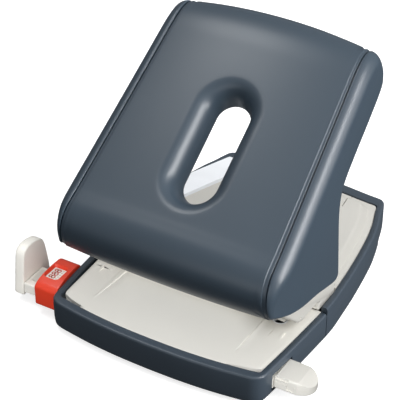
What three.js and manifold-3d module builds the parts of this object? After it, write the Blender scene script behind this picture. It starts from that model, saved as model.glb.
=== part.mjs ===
// Two-hole desk punch with a lever handle, a sliding paper guide and a pull-off chip tray.
// Millimetres, +Z up, -Y towards the user. Origin: on the table under the middle of the base.
import * as THREE from 'three';
import { mergeVertices } from 'three/addons/utils/BufferGeometryUtils.js';
import Module from 'manifold-3d';

const wasm = await Module();
wasm.setup();

// ---------------------------------------------------------------- driving dimensions
const BASE_WIDTH = 113.3;        // outer width of the base ring at its widest
const BASE_DEPTH = 148.7;        // outer depth of the base ring
const RIM_Z = 16.5;              // top of the front rim above the table
const REAR_STEP = 2.6;           // how far the rear rim stands above the front rim
const WALL = 3.0;                // ring wall
const FOOT_H = 1.7;              // rubber feet
const FLOOR_Z = FOOT_H + 0.3;    // underside of the base
const FLOOR_T = 2.0;
const SEAM_Y = -18.6;            // joint between front ring and chip tray
const GAP = 0.3;                 // clearance between neighbouring pieces

const HOLE_SPACING = 80;         // standard two-hole spacing
const PIN_R = 2.75;              // punch pins, 5.5 mm holes
const PIN_FIT = 0.3;             // clearance round a pin in its guide and die
const STOP_BEHIND_PIN = 12;      // paper stop behind the pins
const PIVOT = { y: -44.3, z: 32, r: 3.0 };
const PIN_ARM = 13.8;            // pins behind the pivot
const PIN_Y = PIVOT.y + PIN_ARM;

const SLOT_TOP = RIM_Z + 4.6;    // underside of the punch housing
const TABLE_T = 1.4;
const TABLE_FRONT = RIM_Z - 0.7; // table height along its front edge
const TABLE_MID = RIM_Z - 0.4;   // table height in the middle of the throat
const TABLE_SIDE = RIM_Z - 0.9;  // table height at the dies
const THROAT_Y = PIN_Y + STOP_BEHIND_PIN;
const CEILING_T = 1.5;           // plate between throat and mechanism

const HANDLE_SLOPE = 34.3 * Math.PI / 180;
const PANEL_T = 2.4;
const HALF_W = BASE_WIDTH / 2;
const GROOVE_LOW = HALF_W - 5.35; // half width of the panel at its lower edge
const GROOVE_TOP = HALF_W - 12.25; // half width of the panel at its top
const CHEEK_W = 5.4;             // width of a cheek outside the groove
const HANDLE_LOW_Z = 41.5;
const HANDLE_TOP_Z = 117.5;
const GRIP_R = 8;                // grip opening, half width at its narrowest
const GRIP_FLARE = 16;           // half width where it meets the panel
const GRIP_LEN = 32;             // between the centres of its two ends
const GRIP_DEPTH = 9.5;

const MID_Y = -1.85;             // middle of the base, front to rear
const FRONT_Y = MID_Y - BASE_DEPTH / 2;
const REAR_Y = MID_Y + BASE_DEPTH / 2;
const RAIL = { y0: FRONT_Y + 14.2, y1: FRONT_Y + 28.6, z0: 5.3, z1: 10.6, x0: -HALF_W - 17.3, x1: HALF_W - 2.9 };
const RAIL_FIT = 0.3;

// ---------------------------------------------------------------- geometry helpers
const v3 = (x, y, z) => new THREE.Vector3(x, y, z);

/** Closed solid through equal-length rings, capped at both ends (or closed on itself). */
function loft(rings, closed = false) {
  const n = rings[0].length;
  const pos = [];
  rings.forEach((ring) => ring.forEach((p) => pos.push(p.x, p.y, p.z)));
  const idx = [];
  const spans = closed ? rings.length : rings.length - 1;
  for (let i = 0; i < spans; i++) {
    const a = i * n;
    const b = ((i + 1) % rings.length) * n;
    for (let j = 0; j < n; j++) {
      const k = (j + 1) % n;
      idx.push(a + j, b + j, b + k, a + j, b + k, a + k);
    }
  }
  if (!closed) {
    capFaces(rings[0]).forEach(([a, b, c]) => idx.push(a, b, c));
    const last = (rings.length - 1) * n;
    capFaces(rings[rings.length - 1]).forEach(([a, b, c]) => idx.push(last + a, last + c, last + b));
  }
  const geo = new THREE.BufferGeometry();
  geo.setAttribute('position', new THREE.Float32BufferAttribute(pos, 3));
  geo.setIndex(idx);
  return outward(geo);
}

/** Triangles of a flat ring, wound the way the loft's first cap needs. */
function capFaces(ring) {
  const normal = v3(0, 0, 0);
  ring.forEach((p, i) => {
    const q = ring[(i + 1) % ring.length];
    normal.x += (p.y - q.y) * (p.z + q.z);
    normal.y += (p.z - q.z) * (p.x + q.x);
    normal.z += (p.x - q.x) * (p.y + q.y);
  });
  const ax = Math.abs(normal.x) > Math.max(Math.abs(normal.y), Math.abs(normal.z)) ? 0
    : Math.abs(normal.y) > Math.abs(normal.z) ? 1 : 2;
  const flat = ring.map((p) => (ax === 0 ? new THREE.Vector2(p.y, p.z)
    : ax === 1 ? new THREE.Vector2(p.z, p.x) : new THREE.Vector2(p.x, p.y)));
  const ccw = THREE.ShapeUtils.area(flat) > 0;
  const faces = THREE.ShapeUtils.triangulateShape(flat, []);
  return faces.map(([a, b, c]) => {
    const area = THREE.ShapeUtils.area([flat[a], flat[b], flat[c]]);
    return (area > 0) === ccw ? [a, b, c] : [a, c, b];
  });
}

/** Turns a closed geometry's faces outward. */
function outward(geo) {
  const p = geo.attributes.position;
  const id = geo.index.array;
  let vol = 0;
  for (let i = 0; i < id.length; i += 3) {
    const [a, b, c] = [0, 1, 2].map((k) => new THREE.Vector3().fromBufferAttribute(p, id[i + k]));
    vol += a.dot(b.cross(c));
  }
  if (vol < 0) for (let i = 0; i < id.length; i += 3) [id[i + 1], id[i + 2]] = [id[i + 2], id[i + 1]];
  return geo;
}

const prismX = (pts, x0, x1) => loft([x0, x1].map((x) => pts.map(([y, z]) => v3(x, y, z))));
const prismZ = (pts, z0, z1) => loft([z0, z1].map((z) => pts.map(([x, y]) => v3(x, y, z))));
const box = (x0, x1, y0, y1, z0, z1) => prismZ([[x0, y0], [x1, y0], [x1, y1], [x0, y1]], z0, z1);

/** Points of a circle in any of the three coordinate planes. */
function circle(cu, cv, r, n = 20) {
  return Array.from({ length: n }, (_, i) => {
    const t = (i / n) * 2 * Math.PI;
    return [cu + r * Math.cos(t), cv + r * Math.sin(t)];
  });
}
const rodX = (y, z, r, x0, x1, n = 20) => prismX(circle(y, z, r, n), x0, x1);
const rodZ = (x, y, r, z0, z1, n = 20) => prismZ(circle(x, y, r, n), z0, z1);

/** Round solid about a vertical axis from [radius, height] points. */
function turned(x, y, profile, n = 20) {
  const geo = new THREE.LatheGeometry(profile.map(([r, z]) => new THREE.Vector2(r, z)), n);
  geo.rotateX(Math.PI / 2);
  geo.translate(x, y, 0);
  return outward(geo);
}

/** Manifold solid from a closed geometry. */
function solid(geo) {
  const g = geo.clone();
  g.deleteAttribute('normal');
  g.deleteAttribute('uv');
  const m = outward(mergeVertices(g, 1e-4));
  return new wasm.Manifold(new wasm.Mesh({
    numProp: 3,
    vertProperties: new Float32Array(m.attributes.position.array),
    triVerts: new Uint32Array(m.index.array),
  }));
}
const join = (...geos) => geos.map(solid).reduce((a, b) => a.add(b));
const cut = (body, ...tools) => tools.reduce((a, t) => a.subtract(solid(t)), body);

function geometryOf(man) {
  const m = man.getMesh();
  const geo = new THREE.BufferGeometry();
  geo.setAttribute('position', new THREE.Float32BufferAttribute(m.vertProperties, 3));
  geo.setIndex(Array.from(m.triVerts));
  geo.computeVertexNormals();
  return geo;
}

/** Smooth open curve through 2-D points, sampled at n + 1 points. */
function smooth(pts, n) {
  return new THREE.SplineCurve(pts.map(([a, b]) => new THREE.Vector2(a, b)))
    .getSpacedPoints(n).map((p) => [p.x, p.y]);
}

/** Outline moved inward by d (counter-clockwise polygon). */
function inset(pts, d) {
  return pts.map((p, i) => {
    const a = pts[(i + pts.length - 1) % pts.length];
    const b = pts[(i + 1) % pts.length];
    const e1 = unit([p[0] - a[0], p[1] - a[1]]);
    const e2 = unit([b[0] - p[0], b[1] - p[1]]);
    const n = unit([-(e1[1] + e2[1]), e1[0] + e2[0]]);
    const c = Math.max(0.5, n[0] * -e1[1] + n[1] * e1[0]);
    const dist = (typeof d === 'function' ? d(p, i) : d) / c;
    return [p[0] + n[0] * dist, p[1] + n[1] * dist];
  });
}
const unit = ([a, b]) => { const l = Math.hypot(a, b) || 1; return [a / l, b / l]; };

// ---------------------------------------------------------------- materials
const mat = (color, roughness, metalness = 0) => new THREE.MeshStandardMaterial({ color, roughness, metalness });
const GREY = mat(0x4a545d, 0.5);
const GREY_DARK = mat(0x36424b, 0.5);
const CREAM = mat(0xd9d7cf, 0.45);
const RED = mat(0xc04430, 0.4);
const STEEL = mat(0xc3c8cc, 0.35, 0.9);
const ZINC = mat(0xd2d6da, 0.4, 0.8);
const RUBBER = mat(0x1c1e20, 0.9);
const STRIP = mat(0xcfcfc6, 0.6);

const model = new THREE.Group();
function add(name, shape, material) {
  const geo = shape.getMesh ? geometryOf(shape) : shape;
  const mesh = new THREE.Mesh(geo, material);
  mesh.name = name;
  model.add(mesh);
}

// ---------------------------------------------------------------- base outline
/** Right half of the ring's outer outline, as fractions of half width and depth, front to rear. */
const FRONT_EDGE = [[0, 0], [0.26, 0.002], [0.52, 0.009], [0.76, 0.021], [0.88, 0.029]];
const FRONT_CORNER = [[0.915, 0.036], [0.935, 0.052]];
const SIDE_EDGE = [[0.943, 0.075], [0.966, 0.178], [0.985, 0.3], [0.998, 0.42], [0.985, 0.5], [0.955, 0.62],
  [0.9, 0.765], [0.846, 0.853], [0.8, 0.905], [0.775, 0.938]];
const REAR_CORNER = [[0.752, 0.963], [0.7, 0.979]];
const REAR_EDGE = [[0.6, 0.984], [0.4, 0.992], [0.2, 0.998], [0, 1]];

/** Closed outline, counter-clockwise from the middle of the front edge. */
function baseOutline() {
  const at = ([u, v]) => [u * HALF_W, FRONT_Y + v * (REAR_Y - FRONT_Y)];
  const half = [...smooth([...FRONT_EDGE, ...FRONT_CORNER].map(at), 12),
    ...smooth([...SIDE_EDGE, ...REAR_CORNER, ...REAR_EDGE].map(at), 28)];
  const left = half.slice(1, -1).reverse().map(([x, y]) => [-x, y]);
  return [...half, ...left];
}
const OUTER = baseOutline();
/** Rim width: wider along the front and the rear than along the sides. */
const rimWidth = ([, y]) => WALL + 2.8 * THREE.MathUtils.smoothstep(y, REAR_Y - 14, REAR_Y - 2)
  + 1.2 * THREE.MathUtils.smoothstep(-y, -FRONT_Y - 16, -FRONT_Y - 4);
const INNER = inset(OUTER, rimWidth);

/** Ring blank with a small radius under the floor edge and along the outer rim. */
function ringBlank(top) {
  const ring = (d, z) => inset(OUTER, d).map(([x, y]) => v3(x, y, z));
  return loft([ring(1.6, FLOOR_Z), ring(0.5, FLOOR_Z + 1.1), ring(0.1, FLOOR_Z + 4), ring(0, top - 1.5),
    ring(0.45, top - 0.45), ring(1.5, top)]);
}
const FLOOR_TOP = FLOOR_Z + FLOOR_T;
const FRONT_FLOOR_END = -34;

function baseFront() {
  const front = box(-80, 80, -100, SEAM_Y - GAP / 2, -1, 40);
  const slot = box(HALF_W - 12, HALF_W + 5, RAIL.y0 - RAIL_FIT, RAIL.y1 + RAIL_FIT, FLOOR_TOP,
    KNOB.z1 + RAIL_FIT);
  const hole = box(-HALF_W - 5, -HALF_W + 12, RAIL.y0 - RAIL_FIT, RAIL.y1 + RAIL_FIT,
    RAIL.z0 - RAIL_FIT, RAIL.z1 + 0.8 + RAIL_FIT);
  let body = solid(ringBlank(RIM_Z)).intersect(solid(front));
  body = cut(body, prismZ(INNER, FLOOR_TOP, 40), slot, hole,
    box(-HALF_W + WALL, HALF_W - WALL, FRONT_FLOOR_END, 0, -1, FLOOR_TOP + 1));
  SCREWS.forEach(([x, y]) => {
    body = cut(body, rodZ(x, y, 1.9, 0, 6, 16), rodZ(x, y, 3.5, 0, FLOOR_Z + 1.1, 20));
  });
  return body;
}

function chipTray() {
  const rear = box(-80, 80, SEAM_Y + GAP / 2, 100, -1, 60);
  const tongue = solid(box(-HALF_W + WALL + 2, HALF_W - WALL - 2, FRONT_FLOOR_END + GAP, SEAM_Y + 2,
    FLOOR_Z, FLOOR_TOP));
  const lip = box(-HALF_W + WALL + 2, HALF_W - WALL - 2, FRONT_FLOOR_END + GAP, FRONT_FLOOR_END + GAP + 1.6,
    FLOOR_Z, FLOOR_TOP + 2.5);
  const ring = solid(ringBlank(RIM_Z + REAR_STEP)).intersect(solid(rear))
    .subtract(solid(prismZ(INNER, FLOOR_TOP, 60)));
  return ring.add(tongue).add(solid(lip));
}

// ---------------------------------------------------------------- paper guide
const KNOB = { x0: RAIL.x1 + 0.4, x1: HALF_W + 13.8, z0: 5.6, z1: 12.2 };
const SLEEVE = { x0: -HALF_W - 8.9, y0: FRONT_Y + 10.6, y1: FRONT_Y + 32.6, z0: 4.6, z1: 17.6 };
const WINDOW = { x0: SLEEVE.x0 + 1.4, x1: SLEEVE.x0 + 8, y0: RAIL.y0 + 2.8, y1: RAIL.y0 + 11.4 };
const STOP = { x0: RAIL.x0 - 5.6, x1: RAIL.x0 - 0.3 };

function windowSleeve() {
  const yz = [[SLEEVE.y0, SLEEVE.z0], [SLEEVE.y1, SLEEVE.z0], [SLEEVE.y1, SLEEVE.z1 - 1.6],
    [SLEEVE.y1 - 2.2, SLEEVE.z1 - 0.2], [SLEEVE.y0 + 14, SLEEVE.z1], [SLEEVE.y0 + 7.5, SLEEVE.z1 - 0.3],
    [SLEEVE.y0 + 2.4, SLEEVE.z1 - 1.4],
    [SLEEVE.y0, SLEEVE.z1 - 3.2]];
  const clear = loft([-1, 40].map((z) => inset(OUTER, -GAP).map(([x, y]) => v3(x, y, z))));
  return cut(solid(prismX(yz, SLEEVE.x0, SLEEVE.x0 + 15)), clear,
    box(SLEEVE.x0 - 5, SLEEVE.x0 + 20, RAIL.y0 - RAIL_FIT, RAIL.y1 + RAIL_FIT,
      RAIL.z0 - RAIL_FIT, RAIL.z1 + 0.8 + RAIL_FIT),
    box(WINDOW.x0, WINDOW.x1, WINDOW.y0, WINDOW.y1, 8, 30));
}

function guideRail() {
  const bar = solid(box(RAIL.x0, RAIL.x1, RAIL.y0, RAIL.y1, RAIL.z0, RAIL.z1));
  return cut(bar, box(RAIL.x0 + 3, RAIL.x1 - 3, RAIL.y0 + 2, RAIL.y1 - 2, RAIL.z0 - 1, RAIL.z1 - 2));
}

function guideStop() {
  const yz = [[20.2, 3.2], [20.8, 4.2], ...smooth([[20.4, 9], [18.8, 16], [17, 22], [14.8, 24.6], [11.4, 25.8],
    [6.8, 25.6], [3.8, 23.6], [1.8, 19], [0.2, 11], [-0.5, 5]], 14), [-0.4, 4], [0.4, 3.2]]
    .map(([y, z]) => [RAIL.y0 + y, z]);
  const rings = [[STOP.x0, 0.9], [STOP.x0 + 0.6, 0.3], [STOP.x0 + 1.5, 0], [STOP.x1 - 0.8, 0], [STOP.x1, 0.5]]
    .map(([x, d]) => inset(yz, d).map(([y, z]) => v3(x, y, z)));
  return loft(rings);
}

function railKnob() {
  const end = smooth([[KNOB.x1 - 6, RAIL.y0 + 0.6], [KNOB.x1 - 1.6, RAIL.y0 + 3],
    [KNOB.x1, (RAIL.y0 + RAIL.y1) / 2],
    [KNOB.x1 - 1.6, RAIL.y1 - 3], [KNOB.x1 - 6, RAIL.y1 - 0.6]], 12);
  const plan = [[KNOB.x0, RAIL.y0 + 0.5], ...end, [KNOB.x0, RAIL.y1 - 0.5]];
  const body = solid(loft([[KNOB.z0, 0.8], [KNOB.z0 + 0.8, 0], [KNOB.z1 - 0.8, 0], [KNOB.z1, 0.8]]
    .map(([z, d]) => inset(plan, d).map(([x, y]) => v3(Math.max(x, KNOB.x0), y, z)))));
  const bevel = loft([RAIL.y0 - 1, RAIL.y1 + 1].map((y) => [v3(KNOB.x1 - 5.5, y, KNOB.z1 + 0.01),
    v3(KNOB.x1 + 4, y, KNOB.z1 + 4), v3(KNOB.x1 + 4, y, KNOB.z1 - 4.5)]));
  return cut(body, bevel);
}

// ---------------------------------------------------------------- table, housing and deck
const SCREWS = [[-24, -41], [24, -41]];
const DIE = { half: 7.5, y0: PIN_Y - 5, y1: PIN_Y + 7, z0: TABLE_SIDE - 2.8 };

/** Height of the table's upper face. */
function tableHeight(x, y) {
  const t = THREE.MathUtils.clamp((y + 61) / 24, 0, 1);
  const s = THREE.MathUtils.clamp((y + 60) / 24, 0, 1);
  const side = THREE.MathUtils.smoothstep(Math.abs(x), 33, 37);
  return THREE.MathUtils.lerp(TABLE_FRONT + (TABLE_MID - TABLE_FRONT) * t,
    TABLE_FRONT + (TABLE_SIDE - TABLE_FRONT) * s, side);
}

function frontTable() {
  const cols = [-1, -0.86, -0.71, -0.63, -0.3, 0, 0.3, 0.63, 0.71, 0.86, 1];
  const rows = [0, 0.08, 0.16, 0.26, 0.36, 0.48, 0.6, 0.75, 1];
  const yBack = THROAT_Y + 1.4;
  const edgeX = (y) => insetAt(INNER, y) - GAP;
  const frontY = (x) => frontAt(INNER, x) + GAP;
  const top = rows.map((r) => cols.map((c) => {
    const x0 = c * edgeX(-70);
    const y = THREE.MathUtils.lerp(frontY(x0), yBack, r);
    const x = c * edgeX(Math.max(y, -70));
    return v3(x, y, tableHeight(x, y));
  }));
  const plate = slab(top, TABLE_T);
  const bosses = SCREWS.map(([x, y]) => rodZ(x, y, 4, FLOOR_TOP + GAP, TABLE_FRONT - 0.6, 20));
  let body = join(plate, ...bosses);
  SCREWS.forEach(([x, y]) => { body = cut(body, rodZ(x, y, 1.6, 0, 10.5, 16)); });
  [-1, 1].forEach((s) => {
    body = cut(body, box(s * HOLE_SPACING / 2 - DIE.half - GAP, s * HOLE_SPACING / 2 + DIE.half + GAP,
      DIE.y0 - GAP, DIE.y1 + GAP, 0, 40));
  });
  return body;
}

/** Solid of constant vertical thickness under a grid of points. */
function slab(grid, t) {
  const rings = grid.map((row) => [...row, ...row.slice().reverse().map((p) => v3(p.x, p.y, p.z - t))]);
  return loft(rings);
}

/** Half width of a closed outline at depth y, and its front edge at x. */
function insetAt(pts, y) {
  let best = 0;
  pts.forEach((p, i) => {
    const q = pts[(i + 1) % pts.length];
    if ((p[1] - y) * (q[1] - y) <= 0 && p[1] !== q[1]) {
      const x = p[0] + (q[0] - p[0]) * (y - p[1]) / (q[1] - p[1]);
      best = Math.max(best, x);
    }
  });
  return best;
}
function frontAt(pts, x) {
  let best = 1e9;
  pts.forEach((p, i) => {
    const q = pts[(i + 1) % pts.length];
    if ((p[0] - x) * (q[0] - x) <= 0 && p[0] !== q[0]) {
      best = Math.min(best, p[1] + (q[1] - p[1]) * (x - p[0]) / (q[0] - p[0]));
    }
  });
  return best;
}

const DECK = { front: -2.7, edge: RIM_Z + 2, top: RIM_Z + 5.6 };
const HOUSING = { x: HALF_W - 4.4, lug: HOLE_SPACING / 2 + PIN_R + 2.05, front: -38, back: -3,
  ceil1: SLOT_TOP + CEILING_T };

function punchHousing() {
  const back = HOUSING.back;
  const lug = [[-38, SLOT_TOP + 1.4], [-33.5, SLOT_TOP + 0.3], [-30, SLOT_TOP], [THROAT_Y, SLOT_TOP],
    [THROAT_Y, DECK.edge - 2.2], [back, DECK.edge - 2.2], [back, DECK.top], [-10, 27], [-20, 34], [-40, 40],
    [-47, 38.6], [-50.4, 35]];
  const block = (s) => (s > 0 ? prismX(lug, HOUSING.lug, HOUSING.x) : prismX(lug, -HOUSING.x, -HOUSING.lug));
  const ceiling = box(-HOUSING.lug - 1, HOUSING.lug + 1, HOUSING.front, THROAT_Y + 3, SLOT_TOP, HOUSING.ceil1);
  const stop = box(-HOUSING.lug - 1, HOUSING.lug + 1, THROAT_Y, THROAT_Y + 1.8, DECK.edge - 2.2, SLOT_TOP + 0.5);
  const rear = box(-HOUSING.lug - 1, HOUSING.lug + 1, THROAT_Y + 1, back, DECK.top - 1.8, DECK.top);
  const body = join(block(1), block(-1), ceiling, stop, rear);
  return cut(body, ...[-1, 1].map((s) => rodZ(s * HOLE_SPACING / 2, PIN_Y, PIN_R + PIN_FIT, 0, 30, 20)));
}

/** Distance from a point to the nearest edge of a closed outline. */
function distanceTo(pts, [x, y]) {
  return Math.min(...pts.map((a, i) => {
    const b = pts[(i + 1) % pts.length];
    const [ux, uy] = [b[0] - a[0], b[1] - a[1]];
    const t = THREE.MathUtils.clamp(((x - a[0]) * ux + (y - a[1]) * uy) / (ux * ux + uy * uy), 0, 1);
    return Math.hypot(x - a[0] - t * ux, y - a[1] - t * uy);
  }));
}

/** Plan outline drawn in by about d towards its own middle. */
function shrink(pts, d) {
  const xs = Math.max(...pts.map((p) => p[0]));
  const [y0, y1] = [Math.min(...pts.map((p) => p[1])), Math.max(...pts.map((p) => p[1]))];
  const mid = (y0 + y1) / 2;
  return pts.map(([x, y]) => [x * (1 - d / xs), mid + (y - mid) * (1 - (2 * d) / (y1 - y0))]);
}

/** The deck's outline, d inside the ring's inner wall, closed along the back of the housing. */
function deckPlan(d) {
  const line = inset(INNER, d);
  const corner = insetAt(line, DECK.front);
  const back = line.filter((p) => p[1] > DECK.front + 0.5 && distanceTo(INNER, p) > 0.9 * d);
  return [[-corner, DECK.front], [corner, DECK.front], ...back];
}

function rearDeck() {
  const q = deckPlan(6.5);
  const low = prismZ(deckPlan(GAP), DECK.edge - 2.2, DECK.edge);
  const high = loft([[0, DECK.edge - 1], [0, DECK.edge + 0.1], [2.4, DECK.top - 0.8], [3.6, DECK.top]]
    .map(([d, z]) => shrink(q, d).map(([x, y]) => v3(x, y, z))));
  const hollow = prismZ(shrink(q, 6), DECK.edge - 5, DECK.top - 2.4);
  return cut(join(low, high), hollow);
}

function chassisPlate() {
  const z1 = DECK.edge - 2.2 - GAP;
  return box(-38, 38, THROAT_Y + 2.6, REAR_Y - 20, z1 - 1.5, z1);
}

function diePlate(s) {
  const x = s * HOLE_SPACING / 2;
  return cut(solid(box(x - DIE.half, x + DIE.half, DIE.y0, DIE.y1, DIE.z0, TABLE_SIDE)),
    rodZ(x, PIN_Y, PIN_R + PIN_FIT, 0, 30, 20));
}

// ---------------------------------------------------------------- punching mechanism
const BRACKET = { z0: HOUSING.ceil1 + GAP, t: 1.5, inner: HOLE_SPACING / 2 - 11.6, outer: HOLE_SPACING / 2 - 7.1,
  edge: HOLE_SPACING / 2 + 4.4 };
const LEVER = { t: 2.0, x: BRACKET.inner + BRACKET.t + 0.5, axleFit: 0.3 };
const ARM = { in: 13.7, out: BRACKET.inner - 1.9 };
const HEAD = { z0: BRACKET.z0 + BRACKET.t + 12.0, t: 1.5, r: PIN_R + 1.65 };
const BAR_R = 3.0;
const BAR_Z = HEAD.z0 + HEAD.t + GAP + BAR_R;

/** Bracket of bent steel: floor with the pin guide and two ears on the axle. */
function pinBracket(s) {
  const span = (a, b) => (s > 0 ? [a, b] : [-b, -a]);
  const ear = [[-37, BRACKET.z0], [THROAT_Y - 1, BRACKET.z0], [THROAT_Y - 1, BRACKET.z0 + 4], [-33.5, 33],
    [-38, 38], [-44, 38.8], [-48.6, 36], [-49.5, 31.5], [-45, 26.8]];
  const [f0, f1] = span(BRACKET.inner, BRACKET.edge);
  const floor = box(f0, f1, -37, THROAT_Y - 1, BRACKET.z0, BRACKET.z0 + BRACKET.t);
  const ears = [BRACKET.inner, BRACKET.outer].map((x) => prismX(ear, ...span(x, x + BRACKET.t)));
  return cut(join(floor, ...ears), rodX(PIVOT.y, PIVOT.z, PIVOT.r + GAP, -60, 60, 20),
    rodZ(s * HOLE_SPACING / 2, PIN_Y, PIN_R + PIN_FIT, 0, 60, 20));
}

/** Saddle of zinc-plated steel: two flat arms that fall towards the rear, on bent-down feet. */
function punchFrame() {
  const t = 1.6;
  const foot = HOUSING.ceil1 + GAP;
  const front = THROAT_Y - 9.5;
  const outer = [[front, foot], [front, 57.6], [front + 1.5, 58.6], [42.2, 36.8], [43.4, 35.6],
    [43.4, DECK.top + GAP]];
  const inner = [[43.4 - t, DECK.top + GAP], [43.4 - t, 35.2], [front + 1.6, 56.9], [front + t, 55.9],
    [front + t, foot]];
  const tie = [[front, 32], [front, 53], [front + t, 53], [front + t, 32]];
  return join(prismX([...outer, ...inner], -ARM.out, -ARM.in), prismX([...outer, ...inner], ARM.in, ARM.out),
    prismX(tie, -ARM.in - 3, ARM.in + 3));
}

const CLIP_X = BRACKET.outer + BRACKET.t + 0.55;
function pivotAxle() {
  const half = CLIP_X + 0.8;
  let body = solid(rodX(PIVOT.y, PIVOT.z, PIVOT.r, -half, half, 20));
  [-1, 1].forEach((s) => {
    const g = s * CLIP_X;
    body = body.subtract(solid(rodX(PIVOT.y, PIVOT.z, PIVOT.r + 1, g - 0.35, g + 0.35))
      .subtract(solid(rodX(PIVOT.y, PIVOT.z, PIVOT.r - 0.7, g - 1, g + 1))));
  });
  return body;
}

/** Snap ring in the groove at one end of the axle. */
function axleClip(s) {
  const g = s * CLIP_X;
  const ring = solid(rodX(PIVOT.y, PIVOT.z, PIVOT.r + 1.2, g - 0.2, g + 0.2));
  return cut(ring, rodX(PIVOT.y, PIVOT.z, PIVOT.r - 0.4, g - 2, g + 2, 20),
    box(-90, 90, PIVOT.y - 1.5, PIVOT.y + 1.5, PIVOT.z - 6, PIVOT.z));
}

function punchPin(s) {
  const z0 = SLOT_TOP + 0.2;
  const pin = solid(turned(s * HOLE_SPACING / 2, PIN_Y, [[0, z0], [PIN_R - 0.05, z0], [PIN_R, z0 + 0.05],
    [PIN_R, HEAD.z0 - GAP], [0, HEAD.z0 - GAP]].reverse(), 20));
  return cut(pin, rodX(PIN_Y, z0 - 2.4, PIN_R + 0.45, -80, 80));
}

function pinHead(s) {
  return turned(s * HOLE_SPACING / 2, PIN_Y, [[0, HEAD.z0], [HEAD.r - 0.4, HEAD.z0], [HEAD.r, HEAD.z0 + 0.4],
    [HEAD.r, HEAD.z0 + HEAD.t - 0.4], [HEAD.r - 0.6, HEAD.z0 + HEAD.t], [0, HEAD.z0 + HEAD.t]].reverse(), 20);
}

/** Coil spring round a pin, between the bracket floor and the pin's head. */
function returnSpring(s) {
  const wire = 0.45;
  const z0 = BRACKET.z0 + BRACKET.t + GAP + wire;
  const z1 = HEAD.z0 - GAP - wire;
  const turns = 5;
  const n = turns * 10;
  const rings = Array.from({ length: n + 1 }, (_, i) => {
    const t = (i / n) * turns * 2 * Math.PI;
    const c = v3(Math.cos(t), Math.sin(t), 0);
    return Array.from({ length: 5 }, (_, j) => {
      const a = (j / 5) * 2 * Math.PI;
      const r = PIN_R + 1.0 + wire * Math.cos(a);
      return v3(s * HOLE_SPACING / 2 + c.x * r, PIN_Y + c.y * r, z0 + (z1 - z0) * i / n + wire * Math.sin(a));
    });
  });
  return loft(rings);
}

// ---------------------------------------------------------------- handle
/** Side view of the handle's upper skin, from the lower front edge over the top to the rear tip. */
const SKIN = [[-59.8, 38.8], [-62.2, 41.6], [-63.7, 45.4], [-64.2, 49.5], [-63.5, 53.6], [-61.6, 57.4],
  [-58.5, 60.7], [-54.2, 63.5], [-48.9, 66.9], [-28, 81.1], [-7, 95.4], [13.4, 109.4], [20.4, 114.1],
  [26, 117], [30.8, 118.2], [35, 117.3], [38, 114.2], [39.2, 109.6], [38.3, 105.2], [35.6, 101.4]];
const SKIN_PTS = smooth(SKIN, 33);
const grooveHalf = (z) => THREE.MathUtils.mapLinear(z, HANDLE_LOW_Z, HANDLE_TOP_Z, GROOVE_LOW, GROOVE_TOP);
const crown = (s, z) => (1.5 + 2.0 * (z - HANDLE_LOW_Z) / (HANDLE_TOP_Z - HANDLE_LOW_Z)) * (1 - s * s);

/** Skin moved along its normals; positive goes inward. */
function skinOffset(d) {
  const n = SKIN_PTS.length;
  return SKIN_PTS.map((p, i) => {
    const a = SKIN_PTS[Math.max(0, i - 1)];
    const b = SKIN_PTS[Math.min(n - 1, i + 1)];
    const [ty, tz] = unit([b[0] - a[0], b[1] - a[1]]);
    const dist = typeof d === 'function' ? d(p) : d;
    return [p[0] + tz * dist, p[1] - ty * dist];
  });
}

const PANEL_ORIGIN = [-48.9, 66.8];
/** Point on the panel: x across, u up the slope from PANEL_ORIGIN, d out of the surface. */
const onPanel = (x, u, d) => v3(x,
  PANEL_ORIGIN[0] + u * Math.cos(HANDLE_SLOPE) - d * Math.sin(HANDLE_SLOPE),
  PANEL_ORIGIN[1] + u * Math.sin(HANDLE_SLOPE) + d * Math.cos(HANDLE_SLOPE));
const GRIP_U = 32.7;

/** Stadium ring of half width r at height d over the panel. */
function stadium(r, d, n = 24) {
  return Array.from({ length: n }, (_, i) => {
    const t = ((i + 0.5) / n) * 2 * Math.PI;
    const end = Math.sin(t) > 0 ? 1 : -1;
    return onPanel(r * Math.cos(t), GRIP_U + end * GRIP_LEN / 2 + r * Math.sin(t), d);
  });
}

function handlePanel() {
  const stations = [-1, -0.8, -0.55, -0.28, 0, 0.28, 0.55, 0.8, 1];
  const rings = stations.map((s) => {
    const outer = skinOffset((p) => -crown(s, p[1]));
    const inner = skinOffset((p) => PANEL_T - crown(s, p[1]));
    return [...outer, ...inner.reverse()].map(([y, z]) => v3(s * (grooveHalf(z) - GAP / 2), y, z));
  });
  const shell = solid(loft(rings));
  const mouth = loft([stadium(GRIP_FLARE - 0.4, -12), stadium(GRIP_FLARE - 0.4, 8)]);
  const section = [[GRIP_FLARE + 0.8, 1.9], [GRIP_FLARE - 1.2, 1.5], [GRIP_R + 4.8, -0.6], [GRIP_R + 2.0, -3.6],
    [GRIP_R + 0.5, -6.6], [GRIP_R, -GRIP_DEPTH], [GRIP_R + 2.2, -GRIP_DEPTH], [GRIP_R + 3, -6.6],
    [GRIP_R + 4.8, -3.6], [GRIP_FLARE - 1.5, -1.2], [GRIP_FLARE + 0.8, 0]];
  const collar = loft(section.map(([r, d]) => stadium(r, d)), true);
  return shell.subtract(solid(mouth)).add(solid(collar));
}

/** Outline of a cheek in side view, counter-clockwise; lower corners kept small. */
function cheekOutline() {
  const lower = [[35.6, 101.4], [24, 92.9], [8, 82], [-2.7, 73.8], [-6, 69], [-8, 62.2], [-9.4, 50], [-10.6, 37],
    [-11.2, 33.6], [-13.4, 32], [-17, 32], [-31, 35], [-46, 37.4], [-54, 38.4]];
  return [...SKIN_PTS, ...lower.slice(1)].reverse();
}

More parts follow.
